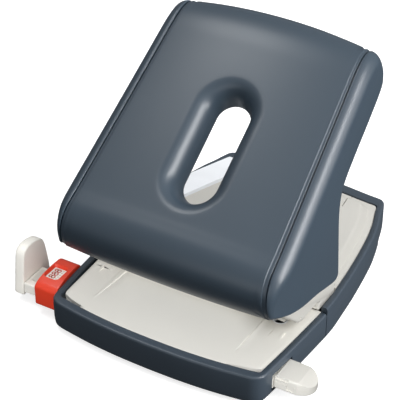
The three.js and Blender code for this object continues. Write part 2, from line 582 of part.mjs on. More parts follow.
function cheek(s) {
  const outline = cheekOutline();
  const place = outline.map(([y, z]) => SKIN_PTS.findIndex(([a, b]) => a === y && b === z));
  const soft = place.map((k) => (k < 0 ? 0.2
    : Math.min(1, 0.3 + 0.2 * k, 0.3 + 0.25 * (SKIN_PTS.length - 1 - k))));
  const ringAt = (w, d) => inset(outline, (p, i) => d * soft[i]).map(([y, z]) =>
    v3(s * (grooveHalf(z) + GAP / 2 + w), y, z));
  const r = 5.6;
  const rings = [ringAt(0, 0)];
  [15, 35, 55, 72, 90].forEach((deg) => {
    const a = deg * Math.PI / 180;
    rings.push(ringAt(CHEEK_W - r + r * Math.sin(a) - 0.001 * (90 - deg), r * (1 - Math.cos(a))));
  });
  const body = solid(loft(rings));
  const core = inset(outline, (p, i) => (place[i] < 0 ? -6 : 2.4));
  const coreRing = (w, d) => inset(core, d).map(([y, z]) => v3(s * (grooveHalf(z) + w), y, z));
  const hollow = loft([coreRing(-4, 0), coreRing(1.5, 0), coreRing(CHEEK_W - 2.2, 2)]);
  return cut(body, hollow);
}

/** Steel lever: a plate under the panel with four ears down to the axle. */
function leverPlate() {
  const top = -PANEL_T - 0.9;
  const plate = loft([-34, 34].map((x) => [onPanel(x, -6, top), onPanel(x, 76, top), onPanel(x, 76, top - LEVER.t),
    onPanel(x, -6, top - LEVER.t)]));
  const flank = (x0, x1) => {
    const foot = circle(PIVOT.y, PIVOT.z, PIVOT.r + 2.6, 16).filter(([, z]) => z <= PIVOT.z + 0.1)
      .sort((p, q) => p[0] - q[0]);
    const up = [onPanel(0, 24, top - 0.2), onPanel(0, -6, top - 0.2)].map((p) => [p.y, p.z]);
    return prismX([...foot, [PIN_Y + 1, BAR_Z - 4.8], [PIN_Y + 5, BAR_Z - 2], [PIN_Y + 5, BAR_Z + 4], ...up],
      x0, x1);
  };
  const flanks = [flank(-LEVER.x - LEVER.t, -LEVER.x), flank(LEVER.x, LEVER.x + LEVER.t)];
  return cut(join(plate, ...flanks), loft([stadium(GRIP_R + 8.2, -30), stadium(GRIP_R + 8.2, 8)]),
    rodX(PIVOT.y, PIVOT.z, PIVOT.r + LEVER.axleFit, -70, 70, 20),
    rodX(PIN_Y, BAR_Z, BAR_R + GAP, -70, 70, 20));
}

const LEVER_SCREWS = [4, 66].flatMap((u) => [[5.4 - LEVER.x, u], [LEVER.x - 5.4, u]]);
/** Countersunk screw that holds the lever plate to bosses under the panel. */
function leverScrew([x, u]) {
  const top = -PANEL_T - 0.9 - LEVER.t - GAP;
  const at = (r, d) => Array.from({ length: 16 }, (_, i) => {
    const t = (i / 16) * 2 * Math.PI;
    return onPanel(x + r * Math.cos(t), u + r * Math.sin(t), d);
  });
  return loft([at(2.6, top - 1.6), at(3, top - 1.2), at(3, top)]);
}

/** Steel rod through a flank of the lever that pushes the pin's head. */
function pressBar(s) {
  const [a, b] = [LEVER.x - 1.2, HOLE_SPACING / 2 + 4.2];
  return s > 0 ? rodX(PIN_Y, BAR_Z, BAR_R, a, b) : rodX(PIN_Y, BAR_Z, BAR_R, -b, -a);
}

// ---------------------------------------------------------------- small parts
function foot(x, y) {
  return turned(x, y, [[0, 0], [5.4, 0], [6, 0.4], [6, FOOT_H], [0, FOOT_H]].reverse(), 20);
}
function baseScrew([x, y]) {
  return join(turned(x, y, [[0, FLOOR_Z + 0.1], [2.6, FLOOR_Z + 0.1], [3, FLOOR_Z + 0.4], [3, FLOOR_Z + 0.8],
    [0, FLOOR_Z + 0.8]].reverse(), 20), rodZ(x, y, 1.25, FLOOR_Z + 0.6, 9.5, 16));
}

// ---------------------------------------------------------------- assembly
add('base_front', baseFront(), GREY_DARK);
add('front_table', frontTable(), CREAM);
add('punch_housing', punchHousing(), CREAM);
add('rear_deck', rearDeck(), CREAM);
add('chassis_plate', chassisPlate(), STEEL);
add('punch_frame', punchFrame(), ZINC);
add('pivot_axle', pivotAxle(), STEEL);
add('window_sleeve', windowSleeve(), RED);
add('chip_tray', chipTray(), GREY_DARK);
add('handle_panel', handlePanel(), GREY);
add('lever_plate', leverPlate(), ZINC);
add('guide_rail', guideRail(), CREAM);
add('guide_stop', guideStop(), CREAM);
add('rail_knob', railKnob(), CREAM);
add('scale_strip', box(RAIL.x0 + 2, RAIL.x1 - 4, RAIL.y0 + 3.2, RAIL.y0 + 11.6, RAIL.z1 + GAP, RAIL.z1 + 0.7),
  STRIP);
[['left', -1], ['right', 1]].forEach(([side, s]) => {
  const x = s * HOLE_SPACING / 2;
  add(`die_plate_${side}`, diePlate(s), STEEL);
  add(`pin_bracket_${side}`, pinBracket(s), ZINC);
  add(`axle_clip_${side}`, axleClip(s), STEEL);
  add(`punch_pin_${side}`, punchPin(s), STEEL);
  add(`pin_head_${side}`, pinHead(s), STEEL);
  add(`return_spring_${side}`, returnSpring(s), STEEL);
  add(`cheek_${side}`, cheek(s), GREY);
  add(`press_bar_${side}`, pressBar(s), STEEL);
  add(`front_foot_${side}`, foot(s * (HALF_W - 18.9), FRONT_Y + 12.6), RUBBER);
  add(`rear_foot_${side}`, foot(s * (HALF_W - 26.9), REAR_Y - 20), RUBBER);
});
SCREWS.forEach((p, i) => add(`base_screw_${i + 1}`, baseScrew(p), STEEL));
LEVER_SCREWS.forEach((p, i) => add(`lever_screw_${i + 1}`, leverScrew(p), STEEL));

// The origin lies on the table under the middle of the whole object, guide included.
model.position.set(-(STOP.x0 + KNOB.x1) / 2, -(FRONT_Y + REAR_Y) / 2, 0);

export default model;
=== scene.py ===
"""Desk hole punch with a wide lever handle, dressed for its portrait.

Lengths in this script are millimetres in the punch's own frame (x to the right, y away from the user, z up,
origin on the table under the middle of the base) unless a name says metres.
"""

import logging
import math
from dataclasses import dataclass, field
from enum import Enum
from typing import Any, Optional, Sequence, Union

import bmesh
import bpy
import numpy as np
from mathutils import Matrix, Vector


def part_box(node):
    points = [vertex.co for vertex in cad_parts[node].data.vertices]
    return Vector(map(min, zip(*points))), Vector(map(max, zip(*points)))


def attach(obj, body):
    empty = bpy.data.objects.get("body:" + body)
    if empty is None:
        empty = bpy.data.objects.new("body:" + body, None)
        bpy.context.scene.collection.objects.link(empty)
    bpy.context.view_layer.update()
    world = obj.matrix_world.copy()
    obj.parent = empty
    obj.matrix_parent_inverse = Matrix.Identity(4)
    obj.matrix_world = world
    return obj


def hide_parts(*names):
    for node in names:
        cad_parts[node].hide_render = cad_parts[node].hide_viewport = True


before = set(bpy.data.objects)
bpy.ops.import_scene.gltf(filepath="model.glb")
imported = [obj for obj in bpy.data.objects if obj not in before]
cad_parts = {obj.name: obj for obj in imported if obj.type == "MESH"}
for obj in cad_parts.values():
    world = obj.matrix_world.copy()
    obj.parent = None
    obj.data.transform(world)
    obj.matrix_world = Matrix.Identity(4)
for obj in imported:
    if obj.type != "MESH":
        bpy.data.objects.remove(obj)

log = logging.getLogger("hole_punch")
Array = np.ndarray
Ring = Sequence[Sequence[float]]


class Body(str, Enum):
    """The moving bodies that pieces ride on."""

    BASE = "base"
    HANDLE = "handle"
    PIN_LEFT = "pin_left"
    PIN_RIGHT = "pin_right"
    GUIDE = "guide"
    TRAY = "tray"


class Slot(str, Enum):
    """The record's material slots."""

    HANDLE = "handle_grey"
    BASE = "base_grey"
    CREAM = "cream"
    RED = "red"
    STEEL = "steel"
    ZINC = "zinc"
    RUBBER = "rubber"
    STRIP = "strip"


# ---------------------------------------------------------------- sizes shared by several sub-assemblies
@dataclass(frozen=True)
class Sizes:
    """Driving sizes of the punch."""

    half_width: float = 56.65
    front_y: float = -76.2
    rear_y: float = 72.5
    rim_z: float = 16.5
    rear_step: float = 2.6
    wall: float = 3.0
    floor_z: float = 2.0
    floor_t: float = 2.0
    seam_y: float = -18.6
    gap: float = 0.3
    pin_x: float = 40.0
    pin_y: float = -30.5
    pin_r: float = 2.75
    throat_y: float = -18.5
    slot_top: float = 21.1

    @property
    def floor_top(self) -> float:
        """Height of the base floor's upper face."""
        return self.floor_z + self.floor_t


SIZE = Sizes()


def own_origin() -> Array:
    """Where the punch's own origin lies in the row frame, in metres, read off the left pin."""
    low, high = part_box("punch_pin_left")
    middle = (low + high) / 2
    return np.array([middle.x + SIZE.pin_x / 1000, middle.y - SIZE.pin_y / 1000, 0.0])


ORIGIN = own_origin()


# ---------------------------------------------------------------- curves and outlines
def unit(vectors: Array) -> Array:
    """Vectors scaled to length one along the last axis."""
    length = np.linalg.norm(vectors, axis=-1, keepdims=True)
    return vectors / np.maximum(length, 1e-9)


def resample(points: Array, count: int) -> Array:
    """The same open polyline with evenly spaced points.

    Args:
        points: The polyline's points, one per row.
        count: How many points to return.

    Returns:
        The evenly spaced points, both ends kept.
    """
    run = np.concatenate([[0.0], np.cumsum(np.linalg.norm(np.diff(points, axis=0), axis=1))])
    at = np.linspace(0, run[-1], count)
    return np.stack([np.interp(at, run, points[:, k]) for k in range(points.shape[1])], axis=1)


def uniform_spline(points: Ring, count: int) -> Array:
    """Smooth open curve through points, evenly resampled.

    Args:
        points: Points to pass through.
        count: How many points to return.

    Returns:
        Points along the curve.
    """
    p = np.asarray(points, float)
    padded = np.vstack([p[:1], p, p[-1:]])
    t = np.linspace(0, 1, 24, endpoint=False)[:, None]
    spans = []
    for i in range(len(p) - 1):
        a, b, c, d = padded[i:i + 4]
        spans.append(0.5 * (2 * b + (c - a) * t + (2 * a - 5 * b + 4 * c - d) * t**2
                            + (3 * b - a - 3 * c + d) * t**3))
    return resample(np.vstack(spans + [p[-1:]]), count)


def soften(ring: Array, steps: int = 4) -> Array:
    """Closed ring with smooth curves through its points, safe for uneven spacing.

    Args:
        ring: Points of the closed ring.
        steps: How many points replace each one.

    Returns:
        The finer ring.
    """
    p = np.asarray(ring, float)
    before, after, beyond = np.roll(p, 1, 0), np.roll(p, -1, 0), np.roll(p, -2, 0)
    gap = [np.maximum(np.sqrt(np.linalg.norm(q - r, axis=1)), 1e-6)[:, None]
           for q, r in ((p, before), (after, p), (beyond, after))]
    rise = ((p - before) / gap[0] - (after - before) / (gap[0] + gap[1]) + (after - p) / gap[1]) * gap[1]
    fall = ((after - p) / gap[1] - (beyond - p) / (gap[1] + gap[2]) + (beyond - after) / gap[2]) * gap[1]
    rows = []
    for t in np.arange(steps) / steps:
        rows.append((2 * t**3 - 3 * t**2 + 1) * p + (t**3 - 2 * t**2 + t) * rise
                    + (3 * t**2 - 2 * t**3) * after + (t**3 - t**2) * fall)
    return np.stack(rows, axis=1).reshape(-1, p.shape[1])


def inset(ring: Array, depth: Union[float, Array]) -> Array:
    """Counter-clockwise outline moved inward.

    Args:
        ring: Points of the closed outline, two columns.
        depth: How far, one number or one per point; negative goes outward.

    Returns:
        The moved outline.
    """
    p = np.asarray(ring, float)
    before = unit(p - np.roll(p, 1, 0))
    after = unit(np.roll(p, -1, 0) - p)
    normal = unit(np.stack([-(before[:, 1] + after[:, 1]), before[:, 0] + after[:, 0]], axis=1))
    lean = np.maximum(0.5, normal[:, 0] * -before[:, 1] + normal[:, 1] * before[:, 0])
    return p + normal * (np.broadcast_to(depth, len(p)) / lean)[:, None]


def fillet(points: Ring, radius: float, steps: int = 6) -> Array:
    """Open or closed polyline with its inner corners rounded.

    Args:
        points: Corner points, ends included.
        radius: How far back from each corner the bend starts.
        steps: Points along each bend.

    Returns:
        The rounded polyline.
    """
    p = np.asarray(points, float)
    out = [p[0]]
    for a, b, c in zip(p, p[1:], p[2:]):
        r = min(radius, 0.45 * np.linalg.norm(b - a), 0.45 * np.linalg.norm(c - b))
        start, end = b + unit(a - b) * r, b + unit(c - b) * r
        for t in np.linspace(0, 1, steps + 1):
            out.append((1 - t)**2 * start + 2 * t * (1 - t) * b + t**2 * end)
    return np.array(out + [p[-1]])


def rounded_polygon(points: Ring, radius: float, steps: int = 5) -> Array:
    """Closed polygon with every corner rounded."""
    p = np.asarray(points, float)
    middle = (p[0] + p[-1]) / 2
    return fillet(np.vstack([middle, p, middle]), radius, steps)[:-1]


def circle(cu: float, cv: float, radius: float, count: int = 48) -> Array:
    """Points of a circle, two columns."""
    t = np.arange(count) / count * 2 * math.pi
    return np.stack([cu + radius * np.cos(t), cv + radius * np.sin(t)], axis=1)


def at_x(ring: Array, x: float) -> Array:
    """A (y, z) outline placed at one x."""
    return np.column_stack([np.full(len(ring), x), ring])


def at_z(ring: Array, z: float) -> Array:
    """An (x, y) outline placed at one height."""
    return np.column_stack([ring, np.full(len(ring), z)])


def smoothstep(value: Any, low: float, high: float) -> Any:
    """Smooth rise from 0 at low to 1 at high."""
    t = np.clip((np.asarray(value, float) - low) / (high - low), 0, 1)
    return t * t * (3 - 2 * t)


# ---------------------------------------------------------------- shader graphs
class Wire:
    """A shader value that takes part in ordinary arithmetic."""

    def __init__(self, graph: "Graph", socket: bpy.types.NodeSocket) -> None:
        self.graph, self.socket = graph, socket

    def _math(self, operation: str, *values: Any) -> "Wire":
        """A maths node over the values."""
        node = self.graph.node("ShaderNodeMath", {"operation": operation}, dict(enumerate(values)))
        return Wire(self.graph, node.outputs[0])

    def __add__(self, other: Any) -> "Wire":
        return self._math("ADD", self, other)

    def __mul__(self, other: Any) -> "Wire":
        return self._math("MULTIPLY", self, other)

    def __sub__(self, other: Any) -> "Wire":
        return self._math("SUBTRACT", self, other)

    __radd__, __rmul__ = __add__, __mul__

    def between(self, low: float, high: float) -> "Wire":
        """The value carried from 0..1 to low..high."""
        node = self.graph.node("ShaderNodeMapRange", {}, {"Value": self, "To Min": low, "To Max": high})
        return Wire(self.graph, node.outputs[0])

    def ramp(self, low: float, high: float) -> "Wire":
        """A smooth rise from 0 at low to 1 at high."""
        node = self.graph.node("ShaderNodeMapRange", {"interpolation_type": "SMOOTHSTEP"},
                               {"Value": self, "From Min": low, "From Max": high})
        return Wire(self.graph, node.outputs[0])


class Graph:
    """The node graph of one material or of the sky."""

    def __init__(self, owner: Union[bpy.types.Material, bpy.types.World]) -> None:
        owner.use_nodes = True
        self.owner, self.tree = owner, owner.node_tree
        self.tree.nodes.clear()

    def node(self, kind: str, settings: Optional[dict] = None,
             inputs: Optional[dict] = None) -> bpy.types.Node:
        """A node of any type.

        Args:
            kind: Blender's type name.
            settings: Properties to set on it.
            inputs: Constants or wires by input name or number.

        Returns:
            The node.
        """
        node = self.tree.nodes.new(kind)
        for key, value in (settings or {}).items():
            setattr(node, key, value)
        for key, value in (inputs or {}).items():
            if isinstance(value, Wire):
                self.tree.links.new(value.socket, node.inputs[key])
            else:
                node.inputs[key].default_value = value
        return node

    def wire(self, kind: str, settings: Optional[dict] = None, inputs: Optional[dict] = None,
             output: Union[str, int] = 0) -> Wire:
        """One output of a new node."""
        return Wire(self, self.node(kind, settings, inputs).outputs[output])

    def position(self) -> Wire:
        """The point on the piece, in metres."""
        return self.wire("ShaderNodeTexCoord", output="Object")

    def noise(self, scale: float, detail: float = 2.0, where: Optional[Wire] = None) -> Wire:
        """Cloudy noise, 0 to 1."""
        return self.wire("ShaderNodeTexNoise", {},
                         {"Vector": where or self.position(), "Scale": scale, "Detail": detail})

    def blend(self, amount: Any, one: Any, other: Any) -> Wire:
        """A colour between two colours."""
        node = self.node("ShaderNodeMix", {"data_type": "RGBA"}, {0: amount, 6: one, 7: other})
        return Wire(self, node.outputs[2])

    def bump(self, height: Wire, distance: float, strength: float = 1.0) -> Wire:
        """A normal disturbed by a height, distance in metres."""
        return self.wire("ShaderNodeBump", {}, {"Height": height, "Distance": distance, "Strength": strength})

    def surface(self, **inputs: Any) -> bpy.types.Material:
        """Ends the graph in a principled surface; names use _ for a space."""
        named = {key.replace("_", " "): value for key, value in inputs.items()}
        shader = self.node("ShaderNodeBsdfPrincipled", {}, named)
        output = self.node("ShaderNodeOutputMaterial")
        self.tree.links.new(shader.outputs[0], output.inputs[0])
        return self.owner


def colour(red: int, green: int, blue: int) -> tuple[float, float, float, float]:
    """Linear colour from display values of 0 to 255."""
    def line(v: float) -> float:
        return v / 12.92 if v <= 0.04045 else ((v + 0.055) / 1.055) ** 2.4
    return (line(red / 255), line(green / 255), line(blue / 255), 1.0)


def shade(base: tuple[float, ...], factor: float) -> tuple[float, float, float, float]:
    """A colour made lighter or darker."""
    return (base[0] * factor, base[1] * factor, base[2] * factor, 1.0)


@dataclass(frozen=True)
class Moulding:
    """Moulded plastic: a fine spark-eroded grain, slight clouding and a soft sheen."""

    name: str
    tint: tuple[float, float, float, float]
    roughness: float = 0.42
    grain: float = 0.00001
    grain_scale: float = 2600.0
    clouding: float = 0.03
    coat: float = 0.0
    sheen_scale: float = 60.0

    def material(self) -> bpy.types.Material:
        """Builds the material."""
        graph = Graph(bpy.data.materials.new(self.name))
        cloud = graph.noise(self.sheen_scale, 3.0)
        fine = graph.noise(self.grain_scale, 2.0)
        tone = graph.blend(cloud, shade(self.tint, 1 - self.clouding), shade(self.tint, 1 + self.clouding))
        rough = cloud.between(self.roughness - 0.02, self.roughness + 0.02) + fine.between(-0.015, 0.015)
        return graph.surface(Base_Color=tone, Roughness=rough, Metallic=0.0, IOR=1.5, Coat_Weight=self.coat,
                             Coat_Roughness=0.35, Normal=graph.bump(fine, self.grain, 0.6))


@dataclass(frozen=True)
class SheetMetal:
    """Rolled or ground metal with fine lines along one way and faint clouding."""

    name: str
    tint: tuple[float, float, float, float]
    roughness: float = 0.35
    metallic: float = 1.0
    along: tuple[float, float, float] = (1.0, 0.05, 1.0)
    lines: float = 1800.0
    depth: float = 0.000004

    def material(self) -> bpy.types.Material:
        """Builds the material."""
        graph = Graph(bpy.data.materials.new(self.name))
        stretched = graph.wire("ShaderNodeVectorMath", {"operation": "MULTIPLY"},
                               {0: graph.position(), 1: self.along})
        line = graph.noise(self.lines, 3.0, stretched)
        cloud = graph.noise(90.0, 4.0)
        tone = graph.blend(cloud, shade(self.tint, 0.94), shade(self.tint, 1.04))
        rough = line.between(self.roughness - 0.06, self.roughness + 0.06) + cloud.between(-0.03, 0.03)
        return graph.surface(Base_Color=tone, Roughness=rough, Metallic=self.metallic,
                             Normal=graph.bump(line, self.depth, 0.5))


@dataclass(frozen=True)
class SoftRubber:
    """Matt rubber with a dusty bloom."""

    name: str
    tint: tuple[float, float, float, float]

    def material(self) -> bpy.types.Material:
        """Builds the material."""
        graph = Graph(bpy.data.materials.new(self.name))
        dust = graph.noise(400.0, 5.0)
        tone = graph.blend(dust, self.tint, shade(self.tint, 1.8))
        return graph.surface(Base_Color=tone, Roughness=dust.between(0.75, 0.95), Metallic=0.0,
                             Normal=graph.bump(graph.noise(1500.0), 0.00002, 0.6))


@dataclass(frozen=True)
class Backdrop:
    """Plain pale studio sheet."""

    name: str
    tint: tuple[float, float, float, float]
    glow: float = 0.25

    def material(self) -> bpy.types.Material:
        """Builds the material."""
        graph = Graph(bpy.data.materials.new(self.name))
        tone = graph.blend(graph.noise(8.0), self.tint, shade(self.tint, 0.995))
        return graph.surface(Base_Color=tone, Roughness=0.9, Metallic=0.0, Specular_IOR_Level=0.1,
                             Emission_Color=(1.0, 1.0, 1.0, 1.0), Emission_Strength=self.glow)


Finish = Union[Moulding, SheetMetal, SoftRubber, Backdrop]

GREY = Moulding("handle_satin_grey", colour(50, 62, 73), roughness=0.37, grain=0.000008)
RING_GREY = Moulding("ring_dark_grey", colour(51, 61, 71), roughness=0.40, grain=0.000008)
CREAM = Moulding("cream_moulding", colour(232, 230, 223), roughness=0.46, grain=0.000006, clouding=0.012)
RED = Moulding("tomato_red_moulding", colour(208, 58, 34), roughness=0.36, grain=0.000006, clouding=0.03)
RED_INK = Moulding("red_figures", colour(190, 48, 34), roughness=0.5, clouding=0.05, sheen_scale=900.0)
STRIP = Moulding("printed_strip", colour(228, 228, 220), roughness=0.5, clouding=0.03, sheen_scale=500.0)
ZINC = SheetMetal("zinc_plated_sheet", colour(234, 237, 241), roughness=0.5, metallic=0.15)
STEEL = SheetMetal("ground_steel", colour(190, 195, 200), roughness=0.3)
SPRING_STEEL = SheetMetal("spring_wire", colour(175, 180, 186), roughness=0.28, along=(1.0, 1.0, 1.0))
RUBBER = SoftRubber("foot_rubber", colour(34, 36, 38))
SHEET = Backdrop("studio_sheet", colour(205, 205, 205), glow=0.72)

_materials: dict[str, bpy.types.Material] = {}


def dressed(finish: Finish) -> bpy.types.Material:
    """The finish's material, built once."""
    if finish.name not in _materials:
        _materials[finish.name] = finish.material()
    return _materials[finish.name]


# ---------------------------------------------------------------- meshes
class Shape:
    """A mesh under construction, in millimetres."""

    def __init__(self) -> None:
        self.bm = bmesh.new()

    def loft(self, rings: Sequence[Array], closed: bool = False) -> "Shape":
        """Adds a skin through equal-length rings.

        Args:
            rings: Rings of points, three columns each.
            closed: Whether the last ring joins the first; otherwise both ends are capped.

        Returns:
            This shape.
        """
        rows = [[self.bm.verts.new(p) for p in ring] for ring in rings]
        count = len(rows[0])
        for i in range(len(rows) if closed else len(rows) - 1):
            a, b = rows[i], rows[(i + 1) % len(rows)]
            for j in range(count):
                k = (j + 1) % count
                self.bm.faces.new((a[j], a[k], b[k], b[j]))
        if not closed:
            self.bm.faces.new(rows[0][::-1])
            self.bm.faces.new(rows[-1])
        return self

    def prism_x(self, outline: Array, x0: float, x1: float, edge: float = 0.0) -> "Shape":
        """Adds a (y, z) outline run from x0 to x1, its end edges rounded by edge."""
        return self.loft([at_x(inset(outline, d), x) for d, x in rounded_run(x0, x1, edge)])

    def prism_z(self, outline: Array, z0: float, z1: float, edge: float = 0.0) -> "Shape":
        """Adds an (x, y) outline run from z0 to z1, its end edges rounded by edge."""
        return self.loft([at_z(inset(outline, d), z) for d, z in rounded_run(z0, z1, edge)])

    def block(self, low: Sequence[float], high: Sequence[float], edge: float = 0.0) -> "Shape":
        """Adds a block with rounded upright and level edges."""
        (x0, y0, z0), (x1, y1, z1) = low, high
        plan = [(x0, y0), (x1, y0), (x1, y1), (x0, y1)]
        outline = rounded_polygon(plan, edge, 3) if edge else np.array(plan)
        return self.prism_z(outline, z0, z1, edge * 0.8)

    def turned(self, x: float, y: float, profile: Ring, count: int = 64) -> "Shape":
        """Adds a round solid about an upright axis from (radius, height) points, low to high."""
        return self.loft([at_z(circle(x, y, max(r, 0.01), count), z) for r, z in profile])

    def build(self, name: str, crease: float = 35.0) -> bpy.types.Object:
        """Ends the shape as an object in the row frame.

        Args:
            name: The object's name.
            crease: Edges sharper than this many degrees stay sharp.

        Returns:
            The object.
        """
        bmesh.ops.recalc_face_normals(self.bm, faces=self.bm.faces[:])
        mesh = bpy.data.meshes.new(name)
        self.bm.to_mesh(mesh)
        self.bm.free()
        mesh.transform(Matrix.Translation(Vector(ORIGIN)) @ Matrix.Scale(0.001, 4))
        soften_shading(mesh, crease)
        obj = bpy.data.objects.new(name, mesh)
        bpy.context.scene.collection.objects.link(obj)
        return obj


def rounded_run(start: float, end: float, edge: float, steps: int = 4) -> list[tuple[float, float]]:
    """(inset, station) pairs of a run whose two ends are rounded off."""
    if edge <= 0:
        return [(0.0, start), (0.0, end)]
    way = 1 if end > start else -1
    bend = [(edge * (1 - math.sin(a)), edge * (1 - math.cos(a)))
            for a in np.linspace(0, math.pi / 2, steps + 1)]
    return [(d, start + way * s) for d, s in bend] + [(d, end - way * s) for d, s in bend[::-1]]


def soften_shading(mesh: bpy.types.Mesh, crease: float) -> None:
    """Smooth shading with sharp edges above an angle in degrees."""
    mesh.shade_smooth()
    mesh.set_sharp_from_angle(angle=math.radians(crease))


def carve(obj: bpy.types.Object, shape: Shape, operation: str = "DIFFERENCE", crease: float = 35.0) -> None:
    """Cuts a shape out of an object, or joins or intersects it.

    Args:
        obj: The object to change.
        shape: The tool, used up.
        operation: DIFFERENCE, UNION or INTERSECT.
        crease: Edges sharper than this many degrees stay sharp afterwards.
    """
    tool = shape.build("tool")
    cut = obj.modifiers.new("cut", "BOOLEAN")
    cut.object, cut.operation, cut.solver = tool, operation, "MANIFOLD"
    bpy.context.view_layer.update()
    evaluated = obj.evaluated_get(bpy.context.evaluated_depsgraph_get())
    mesh = bpy.data.meshes.new_from_object(evaluated)
    obj.modifiers.clear()
    old, obj.data = obj.data, mesh
    bpy.data.meshes.remove(old)
    bpy.data.objects.remove(tool)
    soften_shading(mesh, crease)


def ease_edges(obj: bpy.types.Object, width: float, angle: float = 38.0, segments: int = 3) -> None:
    """Rounds an object's hard edges by a width in millimetres."""
    bevel = obj.modifiers.new("eased_edges", "BEVEL")
    bevel.width, bevel.segments = width / 1000, segments
    bevel.limit_method, bevel.angle_limit = "ANGLE", math.radians(angle)
    bevel.harden_normals = True


def enlist(obj: bpy.types.Object, body: Body, slot: Slot, finish: Finish, *nodes: str) -> bpy.types.Object:
    """Dresses a new piece, sets it riding on its body and lets it stand for CAD nodes.

    Args:
        obj: The piece.
        body: The body it moves with.
        slot: The record's material slot; not used.
        finish: Its finish.
        nodes: CAD nodes that it stands for.

    Returns:
        The piece.
    """
    obj.data.materials.clear()
    obj.data.materials.append(dressed(finish))
    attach(obj, body.value)
    if nodes:
        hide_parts(*nodes)
    log.info("%s: %d faces on %s", obj.name, len(obj.data.polygons), body.value)
    return obj


